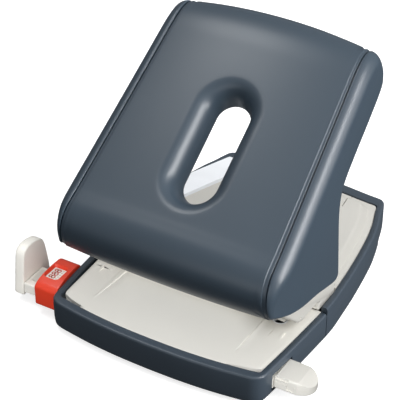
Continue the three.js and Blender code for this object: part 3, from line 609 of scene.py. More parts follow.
# ---------------------------------------------------------------- the base ring and the tray
@dataclass
class BaseRing:
    """Dark ring round the base: a fixed front part and the chip tray behind the seam."""

    front_edge: Ring = ((0, 0), (0.26, 0.002), (0.52, 0.009), (0.76, 0.021), (0.88, 0.029), (0.95, 0.035))
    side_edge: Ring = ((0.937, 0.03), (0.943, 0.075), (0.966, 0.178), (0.985, 0.3), (0.998, 0.42),
                       (0.985, 0.5), (0.955, 0.62), (0.9, 0.765), (0.846, 0.853), (0.8, 0.905),
                       (0.775, 0.938), (0.745, 0.975))
    rear_edge: Ring = ((0.8, 0.9795), (0.6, 0.984), (0.4, 0.992), (0.2, 0.998), (0, 1))
    rim: tuple[float, float, float] = (4.6, 3.0, 5.8)
    outer_bend: tuple[float, float] = (5.2, 2.8)
    inner_bend: tuple[float, float] = (1.1, 1.4)
    floor_end: float = -34.0
    tray_travel_gap: float = 0.25
    outer: Array = field(init=False)
    inner: Array = field(init=False)

    def __post_init__(self) -> None:
        self.outer = self.outline((0, 0, 0), self.outer_bend)
        self.inner = self.outline(self.rim, self.inner_bend)

    def outline(self, depth: Sequence[float], bend: Sequence[float]) -> Array:
        """Closed outline parallel to the ring's outer edge.

        Args:
            depth: How far inside it runs along the front, the sides and the rear.
            bend: How far the front and the rear corners' bends reach.

        Returns:
            The outline, counter-clockwise from the middle of the front.
        """
        edges = (self.front_edge, self.side_edge, self.rear_edge)
        front, side, rear = [self._moved(edge, d) for edge, d in zip(edges, depth)]
        front, side, first = self._joined(front, side, bend[0])
        side, rear, second = self._joined(side, rear, bend[1])
        half = np.vstack([resample(front, 36)[:-1], first, resample(side, 90)[1:-1], second,
                          resample(rear, 30)[1:]])
        return np.vstack([half, half[-2:0:-1] * (-1, 1)])

    @staticmethod
    def _moved(edge: Ring, depth: float) -> Array:
        """One edge of the outline from its fractions of half width and depth, moved inward."""
        u = np.asarray(edge, float)
        line = uniform_spline(np.column_stack([u[:, 0] * SIZE.half_width,
                                               SIZE.front_y + u[:, 1] * (SIZE.rear_y - SIZE.front_y)]), 160)
        way = unit(np.gradient(line, axis=0))
        return line + np.column_stack([-way[:, 1], way[:, 0]]) * depth

    @staticmethod
    def _joined(one: Array, other: Array, reach: float) -> tuple[Array, Array, Array]:
        """Two edges trimmed back from where they cross, and the bend between them."""
        gaps = np.linalg.norm(one[:, None] - other[None], axis=2)
        i, j = np.unravel_index(np.argmin(gaps), gaps.shape)
        corner = (one[i] + other[j]) / 2
        back = one[:i + 1][np.linalg.norm(one[:i + 1] - corner, axis=1) >= reach]
        ahead = other[j:][np.linalg.norm(other[j:] - corner, axis=1) >= reach]
        t = np.linspace(0, 1, 13)[:, None]
        bend = (1 - t)**2 * back[-1] + 2 * t * (1 - t) * corner + t**2 * ahead[0]
        return back, ahead, bend

    def blank(self, top: float) -> Shape:
        """The whole ring with its floor, its rim at height top."""
        z0 = SIZE.floor_z
        outside = [(1.6, z0), (0.95, z0 + 0.3), (0.5, z0 + 1.0), (0.25, z0 + 2.2), (0.08, z0 + 4.5),
                   (0, z0 + 8), (0, top - 1.2), (0.1, top - 0.72), (0.32, top - 0.3), (0.65, top - 0.07),
                   (1.05, top)]
        inside = [(0.4, top), (0.1, top - 0.12), (0, top - 0.45), (0, SIZE.floor_top)]
        rings = [at_z(self.outline((d, d, d), self.outer_bend), z) for d, z in outside]
        rings += [at_z(self.outline([w - d for w in self.rim], self.inner_bend), z) for d, z in inside]
        return Shape().loft(rings)

    def half_width_at(self, y: float, depth: float = 0.0) -> float:
        """Half width of the opening inside the ring at depth y."""
        line = inset(self.inner, depth)
        nxt = np.roll(line, -1, 0)
        cross = (line[:, 1] - y) * (nxt[:, 1] - y) <= 0
        a, b = line[cross], nxt[cross]
        flat = np.abs(b[:, 1] - a[:, 1]) < 1e-9
        t = np.where(flat, 0, (y - a[:, 1]) / np.where(flat, 1, b[:, 1] - a[:, 1]))
        return float(np.max(a[:, 0] + (b[:, 0] - a[:, 0]) * t))

    def front_at(self, x: float) -> float:
        """Front edge of the opening inside the ring at x."""
        line = self.inner
        nxt = np.roll(line, -1, 0)
        cross = (line[:, 0] - x) * (nxt[:, 0] - x) <= 0
        a, b = line[cross], nxt[cross]
        flat = np.abs(b[:, 0] - a[:, 0]) < 1e-9
        t = np.where(flat, 0, (x - a[:, 0]) / np.where(flat, 1, b[:, 0] - a[:, 0]))
        return float(np.min(a[:, 1] + (b[:, 1] - a[:, 1]) * t))

    def build(self) -> None:
        """Builds both parts of the ring and the feet."""
        seam, gap = SIZE.seam_y, self.tray_travel_gap
        hw, rail, fit = SIZE.half_width, Guide(), SIZE.gap
        floor_in = hw - SIZE.wall
        front = self.blank(SIZE.rim_z).build("front_ring")
        carve(front, Shape().block((-80, -100, -5), (80, seam - gap, 60)), "INTERSECT")
        carve(front, Shape().block((-floor_in, self.floor_end, -5), (floor_in, 0, SIZE.floor_top + 1)))
        carve(front, Shape().block((hw - 12, rail.y0 - 0.4, SIZE.floor_top), (hw + 5, rail.y1 + 0.4, 12.7)))
        carve(front, Shape().block((-hw - 5, rail.y0 - fit, rail.z0 - fit),
                                   (-hw + 12, rail.y1 + fit, rail.z1 + rail.headroom)))
        enlist(front, Body.BASE, Slot.BASE, RING_GREY, "base_front")

        tray = self.blank(SIZE.rim_z + SIZE.rear_step).build("tray_ring")
        carve(tray, Shape().block((-80, seam + gap, -5), (80, 120, 60)), "INTERSECT")
        tongue, lip = floor_in - 2, self.floor_end + SIZE.gap
        for low_z, end_y, high_z in ((0, seam + 2, SIZE.floor_top), (0.2, lip + 1.6, SIZE.floor_top + 2.5)):
            bar = Shape().block((-tongue, lip, SIZE.floor_z + low_z), (tongue, end_y, high_z), 0.4)
            carve(tray, bar, "UNION")
        enlist(tray, Body.TRAY, Slot.BASE, RING_GREY, "chip_tray")
        self._feet()

    def _feet(self) -> None:
        """Four rubber feet, dished underneath."""
        profile = ((3.6, 0.35), (4.3, 0.05), (5.2, 0.0), (5.8, 0.25), (6.0, 0.7), (6.0, 1.7))
        for side, sign in (("left", -1), ("right", 1)):
            for row, body, x, y in (("front", Body.BASE, SIZE.half_width - 18.9, SIZE.front_y + 12.6),
                                    ("rear", Body.TRAY, SIZE.half_width - 26.9, SIZE.rear_y - 20)):
                foot = Shape().turned(sign * x, y, profile).build(f"{row}_rubber_{side}")
                enlist(foot, body, Slot.RUBBER, RUBBER, f"{row}_foot_{side}")


# ---------------------------------------------------------------- cream covers
@dataclass
class Covers:
    """The cream mouldings inside the ring: punching table, housing over the throat, and rear deck."""

    ring: BaseRing
    table_front: float = 15.8
    table_mid: float = 16.1
    table_side: float = 15.6
    table_t: float = 1.4
    deck_front: float = -2.7
    deck_edge: float = 18.5
    deck_top: float = 22.1
    bush_r: float = 3.5
    field_inset: float = 3.4
    wedge_x: float = -36.6
    wedge_columns: tuple[int, int] = (11, 12)
    line_columns: tuple[int, int] = (51, 52)
    line_x: float = 34.4

    def height(self, x: float, y: float) -> float:
        """Height of the table's upper face."""
        t = np.clip((y + 61) / 24, 0, 1)
        side = float(smoothstep(abs(x), 33.6, 36.6))
        level = self.table_front + (self.table_mid - self.table_front) * t
        low = self.table_front + (self.table_side - 0.35 - self.table_front) * t
        dip = 0.5 * float(smoothstep(x, 18, self.line_x)) * float(smoothstep(y, -52, -36)) * (x < self.line_x)
        return float(level + (low - level) * side - dip)

    def _columns(self, y: float) -> list[float]:
        """Stations across the table at depth y, the wedge's and the line's edges among them."""
        grow = float(np.clip((y + 60) / 25, 0, 1))
        edge = self.ring.half_width_at(max(y, -70)) - SIZE.gap
        wedge = [self.wedge_x - 0.6 - 0.25, self.wedge_x - 0.6, self.wedge_x - 0.6 + 0.35 + 1.9 * grow,
                 self.wedge_x - 0.6 + 0.6 + 1.9 * grow]
        line = [self.line_x - 0.32, self.line_x - 0.05, self.line_x + 0.05, self.line_x + 0.2]
        left = list(np.linspace(-edge, -38.6, 10))
        middle = list(np.linspace(wedge[-1] + 0.6, self.line_x - 0.9, 36))
        right = list(np.linspace(self.line_x + 0.9, edge, 14))
        return left + wedge + middle + line + right

    def _relief(self, column: int, y: float) -> float:
        """Raised wedge or sunk line at a column, before the general height."""
        grow = float(np.clip((y + 60) / 25, 0, 1))
        if column in self.wedge_columns:
            return 0.9 * grow
        if column in self.line_columns:
            return -0.45 * float(smoothstep(y, -61, -52))
        return 0.0

    def _table(self) -> None:
        """The table, with its openings for the dies and the ribs beside them."""
        back = SIZE.throat_y + 1.4
        rows = np.concatenate([[0, 0.012], np.linspace(0.035, 0.96, 44), [1.0]])
        top = []
        for r in rows:
            row = []
            for c, x in enumerate(self._columns(-70 + r * (back + 70))):
                front = self.ring.front_at(x) + SIZE.gap
                y = front + (back - front) * r
                row.append((x, y, self.height(x, y) + self._relief(c, y) - (0.25 if r == 0 else 0)))
            top.append(row)
        rings = []
        for row in top:
            upper = np.array(row)
            upper[[0, -1], 2] -= 0.25
            rings.append(np.vstack([upper, upper[::-1] - (0, 0, self.table_t)]))
        table = Shape().loft(rings).build("punching_table", 25)
        for sign in (-1, 1):
            hole = circle(sign * SIZE.pin_x, SIZE.pin_y, self.bush_r + 0.1)
            carve(table, Shape().loft([at_z(hole, 5), at_z(hole, 30)]), crease=25)
        for x, y in ((-24, -41), (24, -41)):
            boss = Shape().turned(x, y, ((3.6, SIZE.floor_top + 0.35), (4, SIZE.floor_top + 0.8), (4, 15.2)))
            carve(table, boss, "UNION", 25)
        self._ribs(table)
        enlist(table, Body.BASE, Slot.CREAM, CREAM, "front_table")

    def _bushes(self) -> None:
        """Ground steel bushes that the pins enter, level with the table."""
        for side, sign in (("left", -1), ("right", 1)):
            x, y, bore = sign * SIZE.pin_x, SIZE.pin_y, SIZE.pin_r + 0.1
            top = self.height(x, y) + 0.05
            profile = ((bore, 12.6), (self.bush_r, 12.6), (self.bush_r, top - 0.2), (self.bush_r - 0.2, top),
                       (bore + 0.15, top), (bore, top - 0.15))
            bush = Shape().loft([at_z(circle(x, y, r), z) for r, z in profile], closed=True)
            enlist(bush.build(f"die_bush_{side}"), Body.BASE, Slot.STEEL, ZINC, f"die_plate_{side}")

    def _ribs(self, table: bpy.types.Object) -> None:
        """Low paper ribs and marks at the sides of the table."""
        for x, y0, y1, width, rise in ((46.2, -43.5, -38.4, 0.9, 0.7), (-46.2, -43.5, -38.4, 0.9, 0.7)):
            z = self.height(x, (y0 + y1) / 2)
            side = [(y0, z - 0.5), (y1, z - 0.5), (y1, z + rise), (y1 - 1.2, z + rise), (y0 + 0.2, z + 0.02)]
            carve(table, Shape().prism_x(np.array(side), x - width / 2, x + width / 2), "UNION", 25)
        z = self.height(-45.5, -38)
        carve(table, Shape().block((-50.4, -39.2, z - 0.4), (-41.6, -38.1, z + 0.12), 0.1), "UNION", 25)
        z = self.height(41, -40)
        carve(table, Shape().block((40.8, -43.5, z - 0.3), (41.15, -38, z + 1)), crease=25)

    def _housing(self) -> None:
        """Two lugs beside the handle, the ceiling over the throat and the bridge behind it."""
        st, throat, back = SIZE.slot_top, SIZE.throat_y, -3.0
        outer, lug, low = SIZE.half_width - 4.4, SIZE.pin_x + 4.8, self.deck_edge - 2.2
        profile = rounded_polygon([(-37.6, st + 1.6), (-33.6, st + 0.4), (-30, st), (throat, st),
                                   (throat, low), (back, low), (back, self.deck_top), (-10, 27), (-20, 34),
                                   (-40, 40), (-47, 38.6), (-50.4, 35)], 1.1, 4)
        housing = Shape().prism_x(profile, lug, outer, 0.9).build("punch_cover")
        carve(housing, Shape().prism_x(profile, -outer, -lug, 0.9), "UNION")
        for y0, y1, z0, z1 in ((-38, throat + 3, st, st + 1.5), (throat, throat + 1.8, low, st + 0.5),
                               (throat + 1, back, self.deck_top - 1.8, self.deck_top)):
            carve(housing, Shape().block((-lug - 1, y0, z0), (lug + 1, y1, z1)), "UNION")
        for sign in (-1, 1):
            bore = at_z(circle(sign * SIZE.pin_x, SIZE.pin_y, SIZE.pin_r + 0.3), 0)
            carve(housing, Shape().loft([bore + (0, 0, 15), bore + (0, 0, 32)]))
            dimple = circle(-35.6, st + 3.0, 0.55, 24)
            carve(housing, Shape().prism_x(dimple, sign * (outer - 0.7), sign * (outer + 2)))
            groove = rounded_polygon([(-33.4, st - 1), (-20.2, st - 1), (-20.2, st + 1.3),
                                      (-32.2, st + 1.3)], 0.5)
            carve(housing, Shape().prism_x(groove, sign * (outer - 0.9), sign * (outer + 2)))
        ease_edges(housing, 0.25)
        enlist(housing, Body.BASE, Slot.CREAM, CREAM, "punch_housing")

    def _plan(self, depth: float) -> Array:
        """The deck's outline, depth inside the ring, closed along its front."""
        line = self.ring.outline([w + depth for w in self.ring.rim], (2, 1.2 + 0.8 * depth))
        corner = float(np.interp(self.deck_front, *self._right_side(line)))
        keep = line[(line[:, 1] > self.deck_front + 0.3)]
        front = np.linspace((-corner, self.deck_front), (corner, self.deck_front), 24)
        return np.vstack([front, keep])

    @staticmethod
    def _right_side(line: Array) -> tuple[Array, Array]:
        """Depths and half widths along the right side of an outline, for looking up."""
        side = line[(line[:, 0] > 20) & (line[:, 1] > -60) & (line[:, 1] < 50)]
        order = np.argsort(side[:, 1])
        return side[order, 1], side[order, 0]

    @staticmethod
    def _shrunk(plan: Array, depth: float) -> Array:
        """A plan drawn in towards its middle by about depth."""
        wide, low, high = plan[:, 0].max(), plan[:, 1].min(), plan[:, 1].max()
        middle = (low + high) / 2
        return np.column_stack([plan[:, 0] * (1 - depth / wide),
                                middle + (plan[:, 1] - middle) * (1 - 2 * depth / (high - low))])

    def _deck(self) -> None:
        """The rear deck: a flat margin and a raised field with soft shoulders."""
        edge, top = self.deck_edge, self.deck_top
        low, field_plan = self._plan(SIZE.gap), self._plan(self.field_inset)
        margin = Shape().prism_z(low, edge - 2.2, edge, 0.3).build("deck_cover", 30)
        rows = [(0, edge - 1), (0, edge - 0.05), (0.12, edge + 0.1), (0.9, edge + 1.05), (2.0, edge + 2.3),
                (2.6, top - 0.62), (3.1, top - 0.28), (3.7, top - 0.07), (4.6, top)]
        carve(margin, Shape().loft([at_z(self._shrunk(field_plan, d), z) for d, z in rows]), "UNION", 30)
        hollow = [at_z(self._shrunk(field_plan, 6), z) for z in (edge - 5, top - 2.4)]
        carve(margin, Shape().loft(hollow), crease=30)
        seam = np.array([(28.35, 50.6), (28.85, 50.6), (27.05, 66.2), (26.55, 66.2)])
        for sign in (-1, 1):
            plan = seam * (sign, 1)
            carve(margin, Shape().loft([at_z(plan, edge - 0.45), at_z(plan, top + 2)]), crease=30)
        enlist(margin, Body.BASE, Slot.CREAM, CREAM, "rear_deck")

    def build(self) -> None:
        """Builds the three covers."""
        self._table()
        self._bushes()
        self._housing()
        self._deck()


# ---------------------------------------------------------------- the paper guide
@dataclass
class Guide:
    """Sliding paper guide: rail, stop, knob and printed strip, with the red window sleeve round it."""

    y0: float = -62.0
    y1: float = -47.6
    z0: float = 5.3
    z1: float = 10.6
    headroom: float = 1.1
    rail_x0: float = -73.95
    rail_x1: float = 53.75
    stop_x0: float = -79.55
    knob_x1: float = 70.45
    knob_z0: float = 5.6
    knob_z1: float = 12.2
    sleeve_x0: float = -65.55
    sleeve_y0: float = -65.6
    sleeve_y1: float = -43.6
    sleeve_z0: float = 4.6
    sleeve_z1: float = 17.6
    card_z: float = 16.1
    figure_steps: Sequence[float] = (0.0, 22.0, 44.0, 66.0, 88.0)

    def _rail(self) -> None:
        """The rail: a shallow channel with eased edges."""
        low, high = (self.rail_x0, self.y0, self.z0), (self.rail_x1, self.y1, self.z1)
        rail = Shape().block(low, high).build("rail_bar")
        carve(rail, Shape().block((self.rail_x0 + 3, self.y0 + 2, self.z0 - 1),
                                  (self.rail_x1 - 3, self.y1 - 2, self.z1 - 2)))
        ease_edges(rail, 0.45)
        enlist(rail, Body.GUIDE, Slot.CREAM, CREAM, "guide_rail")

    def _stop(self) -> None:
        """The upright stop, rounded along its back and top."""
        curve = uniform_spline([(20.4, 9), (19.4, 15), (18.1, 21), (16.4, 24.6), (13.2, 26.6), (8, 27.4),
                                (4.4, 26.8), (2.2, 24.6), (1.1, 18.8), (0.2, 11), (-0.5, 5)], 44)
        side = np.vstack([[(20.2, 3.2), (20.8, 4.2)], curve, [(-0.4, 4), (0.4, 3.2)]]) + (self.y0, 0)
        rings = [(0, 1.5), (0.12, 0.95), (0.45, 0.42), (0.95, 0.12), (1.6, 0.0), (4.3, 0.0), (4.9, 0.12),
                 (5.2, 0.42), (5.3, 0.8)]
        stop = Shape().loft([at_x(inset(side, d), self.stop_x0 + x) for x, d in rings])
        stop = stop.build("stop_plate", 30)
        enlist(stop, Body.GUIDE, Slot.CREAM, CREAM, "guide_stop")

    def _knob(self) -> None:
        """The knob: a flat grip with a slanted round end."""
        x1, y0, y1, mid = self.knob_x1, self.y0, self.y1, (self.y0 + self.y1) / 2
        x0, z0, z1 = self.rail_x1 + 0.4, self.knob_z0, self.knob_z1
        end = uniform_spline([(x1 - 6, y0 + 0.6), (x1 - 1.6, y0 + 3), (x1, mid), (x1 - 1.6, y1 - 3),
                              (x1 - 6, y1 - 0.6)], 40)
        plan = np.vstack([[(x0, y0 + 0.5)], end, [(x0, y1 - 0.5)]])
        rings = [at_z(inset(plan, d), z) for d, z in rounded_run(z0, z1, 0.8)]
        for ring in rings:
            ring[:, 0] = np.maximum(ring[:, 0], x0)
        knob = Shape().loft(rings).build("knob_grip", 30)
        slant = [[(x1 - 5.5, y, z1 + 0.01), (x1 + 4, y, z1 + 4), (x1 + 4, y, z1 - 4.5)]
                 for y in (y0 - 1, y1 + 1)]
        carve(knob, Shape().loft([np.array(r) for r in slant]))
        for low, high in (((x1 - 10.6, y0 - 1, z0 + 1.2), (x1 - 7.4, y0 + 0.95, z0 + 3.9)),
                          ((x0 - 1, y0 - 1, z1 - 1.4), (x0 + 6.5, y0 + 1.1, z1 + 1)),
                          ((x0 - 1, y0 - 1, z1 - 3.0), (x1 - 6.2, y0 + 0.72, z1 - 2.7))):
            carve(knob, Shape().block(low, high))
        ease_edges(knob, 0.22)
        enlist(knob, Body.GUIDE, Slot.CREAM, CREAM, "rail_knob")

    def _sleeve(self, ring: BaseRing) -> None:
        """The red sleeve with its window, domed on top."""
        y0, y1, z0, z1, x0 = self.sleeve_y0, self.sleeve_y1, self.sleeve_z0, self.sleeve_z1, self.sleeve_x0
        side = rounded_polygon([(y0, z0), (y1, z0), (y1, z1 - 1.6), (y1 - 2.2, z1 - 0.2), (y0 + 14, z1),
                                (y0 + 7.5, z1 - 0.3), (y0 + 2.4, z1 - 1.4), (y0, z1 - 3.2)], 1.0, 4)
        sleeve = Shape().prism_x(side, x0, x0 + 15, 0.7).build("window_frame")
        clear = [-SIZE.gap] * 3
        outside = Shape().loft([at_z(ring.outline(clear, ring.outer_bend), z) for z in (-1, 40)])
        carve(sleeve, outside)
        carve(sleeve, Shape().block((x0 - 5, self.y0 - SIZE.gap, self.z0 - SIZE.gap),
                                    (x0 + 20, self.y1 + SIZE.gap, self.z1 + self.headroom)))
        (wx0, wx1), (wy0, wy1) = (x0 + 1.5, x0 + 7.9), (self.y0 + 2.9, self.y0 + 11.3)
        window = rounded_polygon([(wx0, wy0), (wx1, wy0), (wx1, wy1), (wx0, wy1)], 1.2, 5)
        rings = [(0.0, 8.0), (0.0, z1 - 1.9), (-0.35, z1 - 1.0), (-0.9, z1 - 0.1), (-1.2, z1 + 2)]
        carve(sleeve, Shape().loft([at_z(inset(window, d), z) for d, z in rings]))
        ease_edges(sleeve, 0.2)
        enlist(sleeve, Body.BASE, Slot.RED, RED, "window_sleeve")

    def _strip(self) -> None:
        """The printed strip on the rail, with generic red figures and dots along it."""
        z = self.z1 + SIZE.gap
        strip = Shape().block((self.rail_x0 + 2, self.y0 + 3.2, z),
                              (self.rail_x1 - 4, self.y0 + 11.6, z + 0.4), 0.1)
        enlist(strip.build("figure_strip"), Body.GUIDE, Slot.STRIP, STRIP, "scale_strip")
        ink = Shape()
        for step in self.figure_steps:
            x = self.sleeve_x0 + 3.6 + step
            for row in range(3):
                self._eight(ink, x, self.y0 + 4.4 + 2.35 * row, z + 0.4)
            for row in range(5):
                dot = circle(x + 2.9, self.y0 + 4.0 + 1.5 * row, 0.22, 12)
                ink.loft([at_z(dot, z + 0.38), at_z(dot, z + 0.5)])
        enlist(ink.build("strip_figures"), Body.GUIDE, Slot.RED, RED_INK)

    def _card(self) -> None:
        """The card just under the window, with the figures at the guide's first stop."""
        x, y, z = self.sleeve_x0 + 1.6, self.y0 + 3.0, self.card_z
        card = Shape().block((x, y, z - 0.4), (x + 6.2, y + 8.2, z), 0.05).build("window_card")
        enlist(card, Body.BASE, Slot.STRIP, STRIP)
        ink = Shape()
        for row in range(3):
            self._eight(ink, x + 2.5, y + 1.7 + 2.4 * row, z)
        for row in range(5):
            dot = circle(x + 5.2, y + 1.0 + 1.55 * row, 0.22, 12)
            ink.loft([at_z(dot, z - 0.02), at_z(dot, z + 0.08)])
        enlist(ink.build("window_figures"), Body.BASE, Slot.RED, RED_INK)

    @staticmethod
    def _eight(ink: Shape, x: float, y: float, z: float) -> None:
        """One generic figure eight, lying on the strip with its top to the left."""
        for middle, long_r, wide_r in ((-0.72, 0.66, 0.72), (0.72, 0.78, 0.86)):
            outer = circle(0, 0, 1, 28) * (long_r + 0.3, wide_r + 0.26) + (x + middle, y)
            inner = circle(0, 0, 1, 28) * (long_r - 0.2, wide_r - 0.26) + (x + middle, y)
            ink.loft([at_z(outer, z - 0.02), at_z(outer, z + 0.08), at_z(inner, z + 0.08),
                      at_z(inner, z - 0.02)], closed=True)

    def build(self, ring: BaseRing) -> None:
        """Builds the guide and its sleeve."""
        self._rail()
        self._stop()
        self._knob()
        self._sleeve(ring)
        self._strip()
        self._card()


# ---------------------------------------------------------------- the handle
@dataclass
class Handle:
    """Lever handle: a crowned panel with a funnel-shaped grip opening between two rounded cheeks."""

    skin: Ring = ((-59.8, 38.8), (-62.2, 41.6), (-63.7, 45.4), (-64.2, 49.5), (-63.5, 53.6), (-61.6, 57.4),
                  (-58.5, 60.7), (-54.2, 63.5), (-48.9, 66.9), (-28, 81.1), (-7, 95.4), (13.4, 109.4),
                  (20.4, 114.1), (26, 117), (30.8, 118.2), (35, 117.3), (38, 114.2), (39.2, 109.6),
                  (38.3, 105.2), (35.6, 101.4))
    lower: Ring = ((24, 92.9), (8, 82), (-2.7, 73.8), (-6, 69), (-8, 62.2), (-9.4, 50), (-10.6, 37),
                   (-11.2, 33.6), (-13.4, 32), (-17, 32), (-31, 35), (-46, 37.4), (-54, 38.4))
    low_z: float = 41.5
    top_z: float = 117.5
    groove_low: float = 51.3
    groove_top: float = 44.4
    panel_t: float = 2.4
    cheek_w: float = 5.4
    cheek_r: float = 5.6
    front_taper: float = 0.75
    seam_round: float = 0.55
    margin: tuple[float, float] = (2.0, 1.2)
    margin_depth: float = 0.35
    grip_u: float = 32.7
    grip_len: float = 32.0
    flare: float = 17.0
    funnel: Ring = ((8.1, -11.75), (8.0, -11.2), (8.35, -9.6), (9.0, -7.4), (9.9, -5.2), (11.1, -3.2),
                    (12.6, -1.6), (14.4, -0.55), (16.0, -0.1), (17.0, 0.0))
    funnel_under: Ring = ((18.6, -2.4), (16.4, -2.9), (14.6, -4.2), (12.9, -6.4), (11.6, -9.0), (10.6, -11.2),
                          (9.6, -11.9), (8.6, -12.0))
    line: Array = field(init=False)
    run: Array = field(init=False)

    def __post_init__(self) -> None:
        self.line = uniform_spline(self.skin, 700)
        self.run = np.concatenate([[0], np.cumsum(np.linalg.norm(np.diff(self.line, axis=0), axis=1))])

    @property
    def start(self) -> float:
        """Distance along the skin at which the grip's own measure starts."""
        return float(self.run[np.argmin(np.linalg.norm(self.line - (-48.9, 66.9), axis=1))])

    def groove_half(self, z: Array) -> Array:
        """Half width of the panel at height z."""
        t = (np.asarray(z) - self.low_z) / (self.top_z - self.low_z)
        return self.groove_low + (self.groove_top - self.groove_low) * t

    def _on_skin(self, t: Array) -> tuple[Array, Array]:
        """Depth and height on the skin's side view at distance t."""
        inside = np.clip(t, 0, self.run[-1])
        return np.interp(inside, self.run, self.line[:, 0]), np.interp(inside, self.run, self.line[:, 1])

    def point(self, s: Array, t: Array, lift: Array) -> Array:
        """Points over the panel.

        Args:
            s: Across, -1 to 1 from groove to groove.
            t: Distance along the skin from its lower front edge.
            lift: Distance out of the crowned surface.

        Returns:
            The points, three columns.
        """
        s, t, lift = np.broadcast_arrays(s, t, lift)
        inside = np.clip(t, 0, self.run[-1])
        y, z = self._on_skin(inside)
        step = 0.6
        y1, z1 = self._on_skin(inside + step)
        y0, z0 = self._on_skin(inside - step)
        along = unit(np.stack([y1 - y0, z1 - z0], axis=-1))
        crown = (1.5 + 2.0 * (z - self.low_z) / (self.top_z - self.low_z)) * (1 - np.clip(s, -1, 1) ** 2)
        out = crown + lift
        beyond = t - inside
        return np.stack([s * (self.groove_half(z) - 0.15), y - along[..., 1] * out + along[..., 0] * beyond,
                         z + along[..., 0] * out + along[..., 1] * beyond], axis=-1)

    def _border(self) -> tuple[Array, Array]:
        """Points (s, t) round the panel's edge, and the way out from each."""
        length = self.run[-1]
        across, along = 72, 104
        s = np.linspace(-1, 1, across, endpoint=False)
        t = np.linspace(0, length, along, endpoint=False)
        sides = [np.column_stack([s, np.zeros(across)]), np.column_stack([np.ones(along), t]),
                 np.column_stack([-s, np.full(across, length)]),
                 np.column_stack([-np.ones(along), length - t])]
        ways = [(0, -1), (1, 0), (0, 1), (-1, 0)]
        out = np.vstack([np.tile(w, (len(p), 1)) for w, p in zip(ways, sides)]).astype(float)
        first = np.cumsum([0] + [len(p) for p in sides[:-1]])
        for corner, a, b in zip(first, ways[-1:] + ways[:-1], ways):
            out[corner] = np.add(a, b)
        return np.vstack(sides), out

    def _panel(self) -> None:
        """The panel: one closed skin from the funnel over the top, round the edges and back underneath."""
        border, out = self._border()
        mid_t, half = self.start + self.grip_u, self.grip_len / 2
        z_border = np.interp(border[:, 1], self.run, self.line[:, 1])
        edge_x = border[:, 0] * self.groove_half(z_border)
        spine_t = np.clip(border[:, 1], mid_t - half, mid_t + half)
        way = unit(np.column_stack([edge_x, border[:, 1] - spine_t]))

        def stadium(radius: float, lift: float) -> Array:
            x, t = radius * way[:, 0], spine_t + radius * way[:, 1]
            z = np.interp(t, self.run, self.line[:, 1])
            return self.point(x / self.groove_half(z), t, lift)

        def spread(share: float, lift: float, radius: float) -> Array:
            x0, t0 = radius * way[:, 0], spine_t + radius * way[:, 1]
            s0 = x0 / self.groove_half(np.interp(t0, self.run, self.line[:, 1]))
            return self.point(s0 + (border[:, 0] - s0) * share, t0 + (border[:, 1] - t0) * share, lift)

        def rim(inside: Union[float, Array], lift: float) -> Array:
            s = border[:, 0] - out[:, 0] * inside / self.groove_half(z_border)
            return self.point(s, border[:, 1] - out[:, 1] * inside, lift - sunk * self.margin_depth)

        def edge(angle: float) -> Array:
            r = self.seam_round
            return rim(r - r * math.sin(angle), -r * (1 - math.cos(angle)))

        sunk = np.abs(out[:, 0])
        wide = np.interp(z_border, (self.low_z, self.top_z), self.margin)
        shares = np.linspace(0, 1, 36)[1:-1] ** 0.92 * 0.9
        rows = [stadium(r, d) for r, d in uniform_spline(self.funnel, 30)]
        rows += [spread(share, 0.0, self.flare) for share in shares]
        rows += [rim(wide + d, sunk * self.margin_depth * rise)
                 for d, rise in ((0.35, 1.0), (0.14, 0.97), (0.04, 0.75), (-0.06, 0.2), (-0.16, 0.0),
                                 (-0.3, 0.0))]
        rows += [edge(a) for a in np.linspace(0, math.pi / 2, 6)]
        rows += [self.point(border[:, 0], border[:, 1], -self.panel_t)]
        rows += [spread(share, -self.panel_t, 18.6) for share in np.linspace(0.97, 0.06, 24)]
        rows += [stadium(r, d) for r, d in uniform_spline(self.funnel_under, 16)]
        panel = Shape().loft(rows, closed=True).build("grip_panel", 55)
        enlist(panel, Body.HANDLE, Slot.HANDLE, GREY, "handle_panel")

    def _cheek(self, side: str, sign: int) -> None:
        """One cheek: a hollow rounded rail along the panel that comes down beside the base."""
        skin = uniform_spline(self.skin[1:], 45)
        outline = np.vstack([skin, np.asarray(self.lower)])[::-1]
        place = np.arange(len(outline))[::-1]
        last = len(skin) - 1
        ends = np.minimum(0.3 + 0.15 * place, 0.3 + 0.19 * (last - place))
        soft = np.where(place > last, 0.2, np.minimum(1, ends))

        def slim(flat: Array) -> Array:
            return 1 - self.front_taper * smoothstep(-flat[:, 0], 46, 63) * smoothstep(-flat[:, 1], -66, -40)

        def ring(width: float, depth: Union[float, Array]) -> Array:
            flat = inset(outline, depth * soft)
            across = self.groove_half(flat[:, 1]) + 0.15 + width * slim(flat)
            return soften(np.column_stack([sign * across, flat]), 5)

        r = self.cheek_r
        lip = ((0, self.seam_round * 1.1), (0.05, self.seam_round * 0.55), (0.22, 0.12), (0.6, 0.0))
        rows = [ring(width, depth) for width, depth in lip]
        for angle in np.radians([17, 24, 31, 39, 47, 55, 63, 71, 78, 84, 90]):
            rows.append(ring(self.cheek_w - r + r * math.sin(angle), r * (1 - math.cos(angle))))
        cheek = Shape().loft(rows).build(f"side_cheek_{side}", 40)
        core = inset(outline, np.where(place > last, -6, 2.6))
        hollow = []
        for width, depth in ((-4, 0), (1.5, 0), (self.cheek_w - 2.4, 2)):
            flat = inset(core, depth)
            across = self.groove_half(flat[:, 1]) + width * slim(flat) ** 2
            hollow.append(np.column_stack([sign * across, flat]))
        carve(cheek, Shape().loft(hollow), crease=40)
        enlist(cheek, Body.HANDLE, Slot.HANDLE, GREY, f"cheek_{side}")

    def build(self) -> None:
        """Builds the panel and both cheeks."""
        self._panel()
        self._cheek("left", -1)
        self._cheek("right", 1)


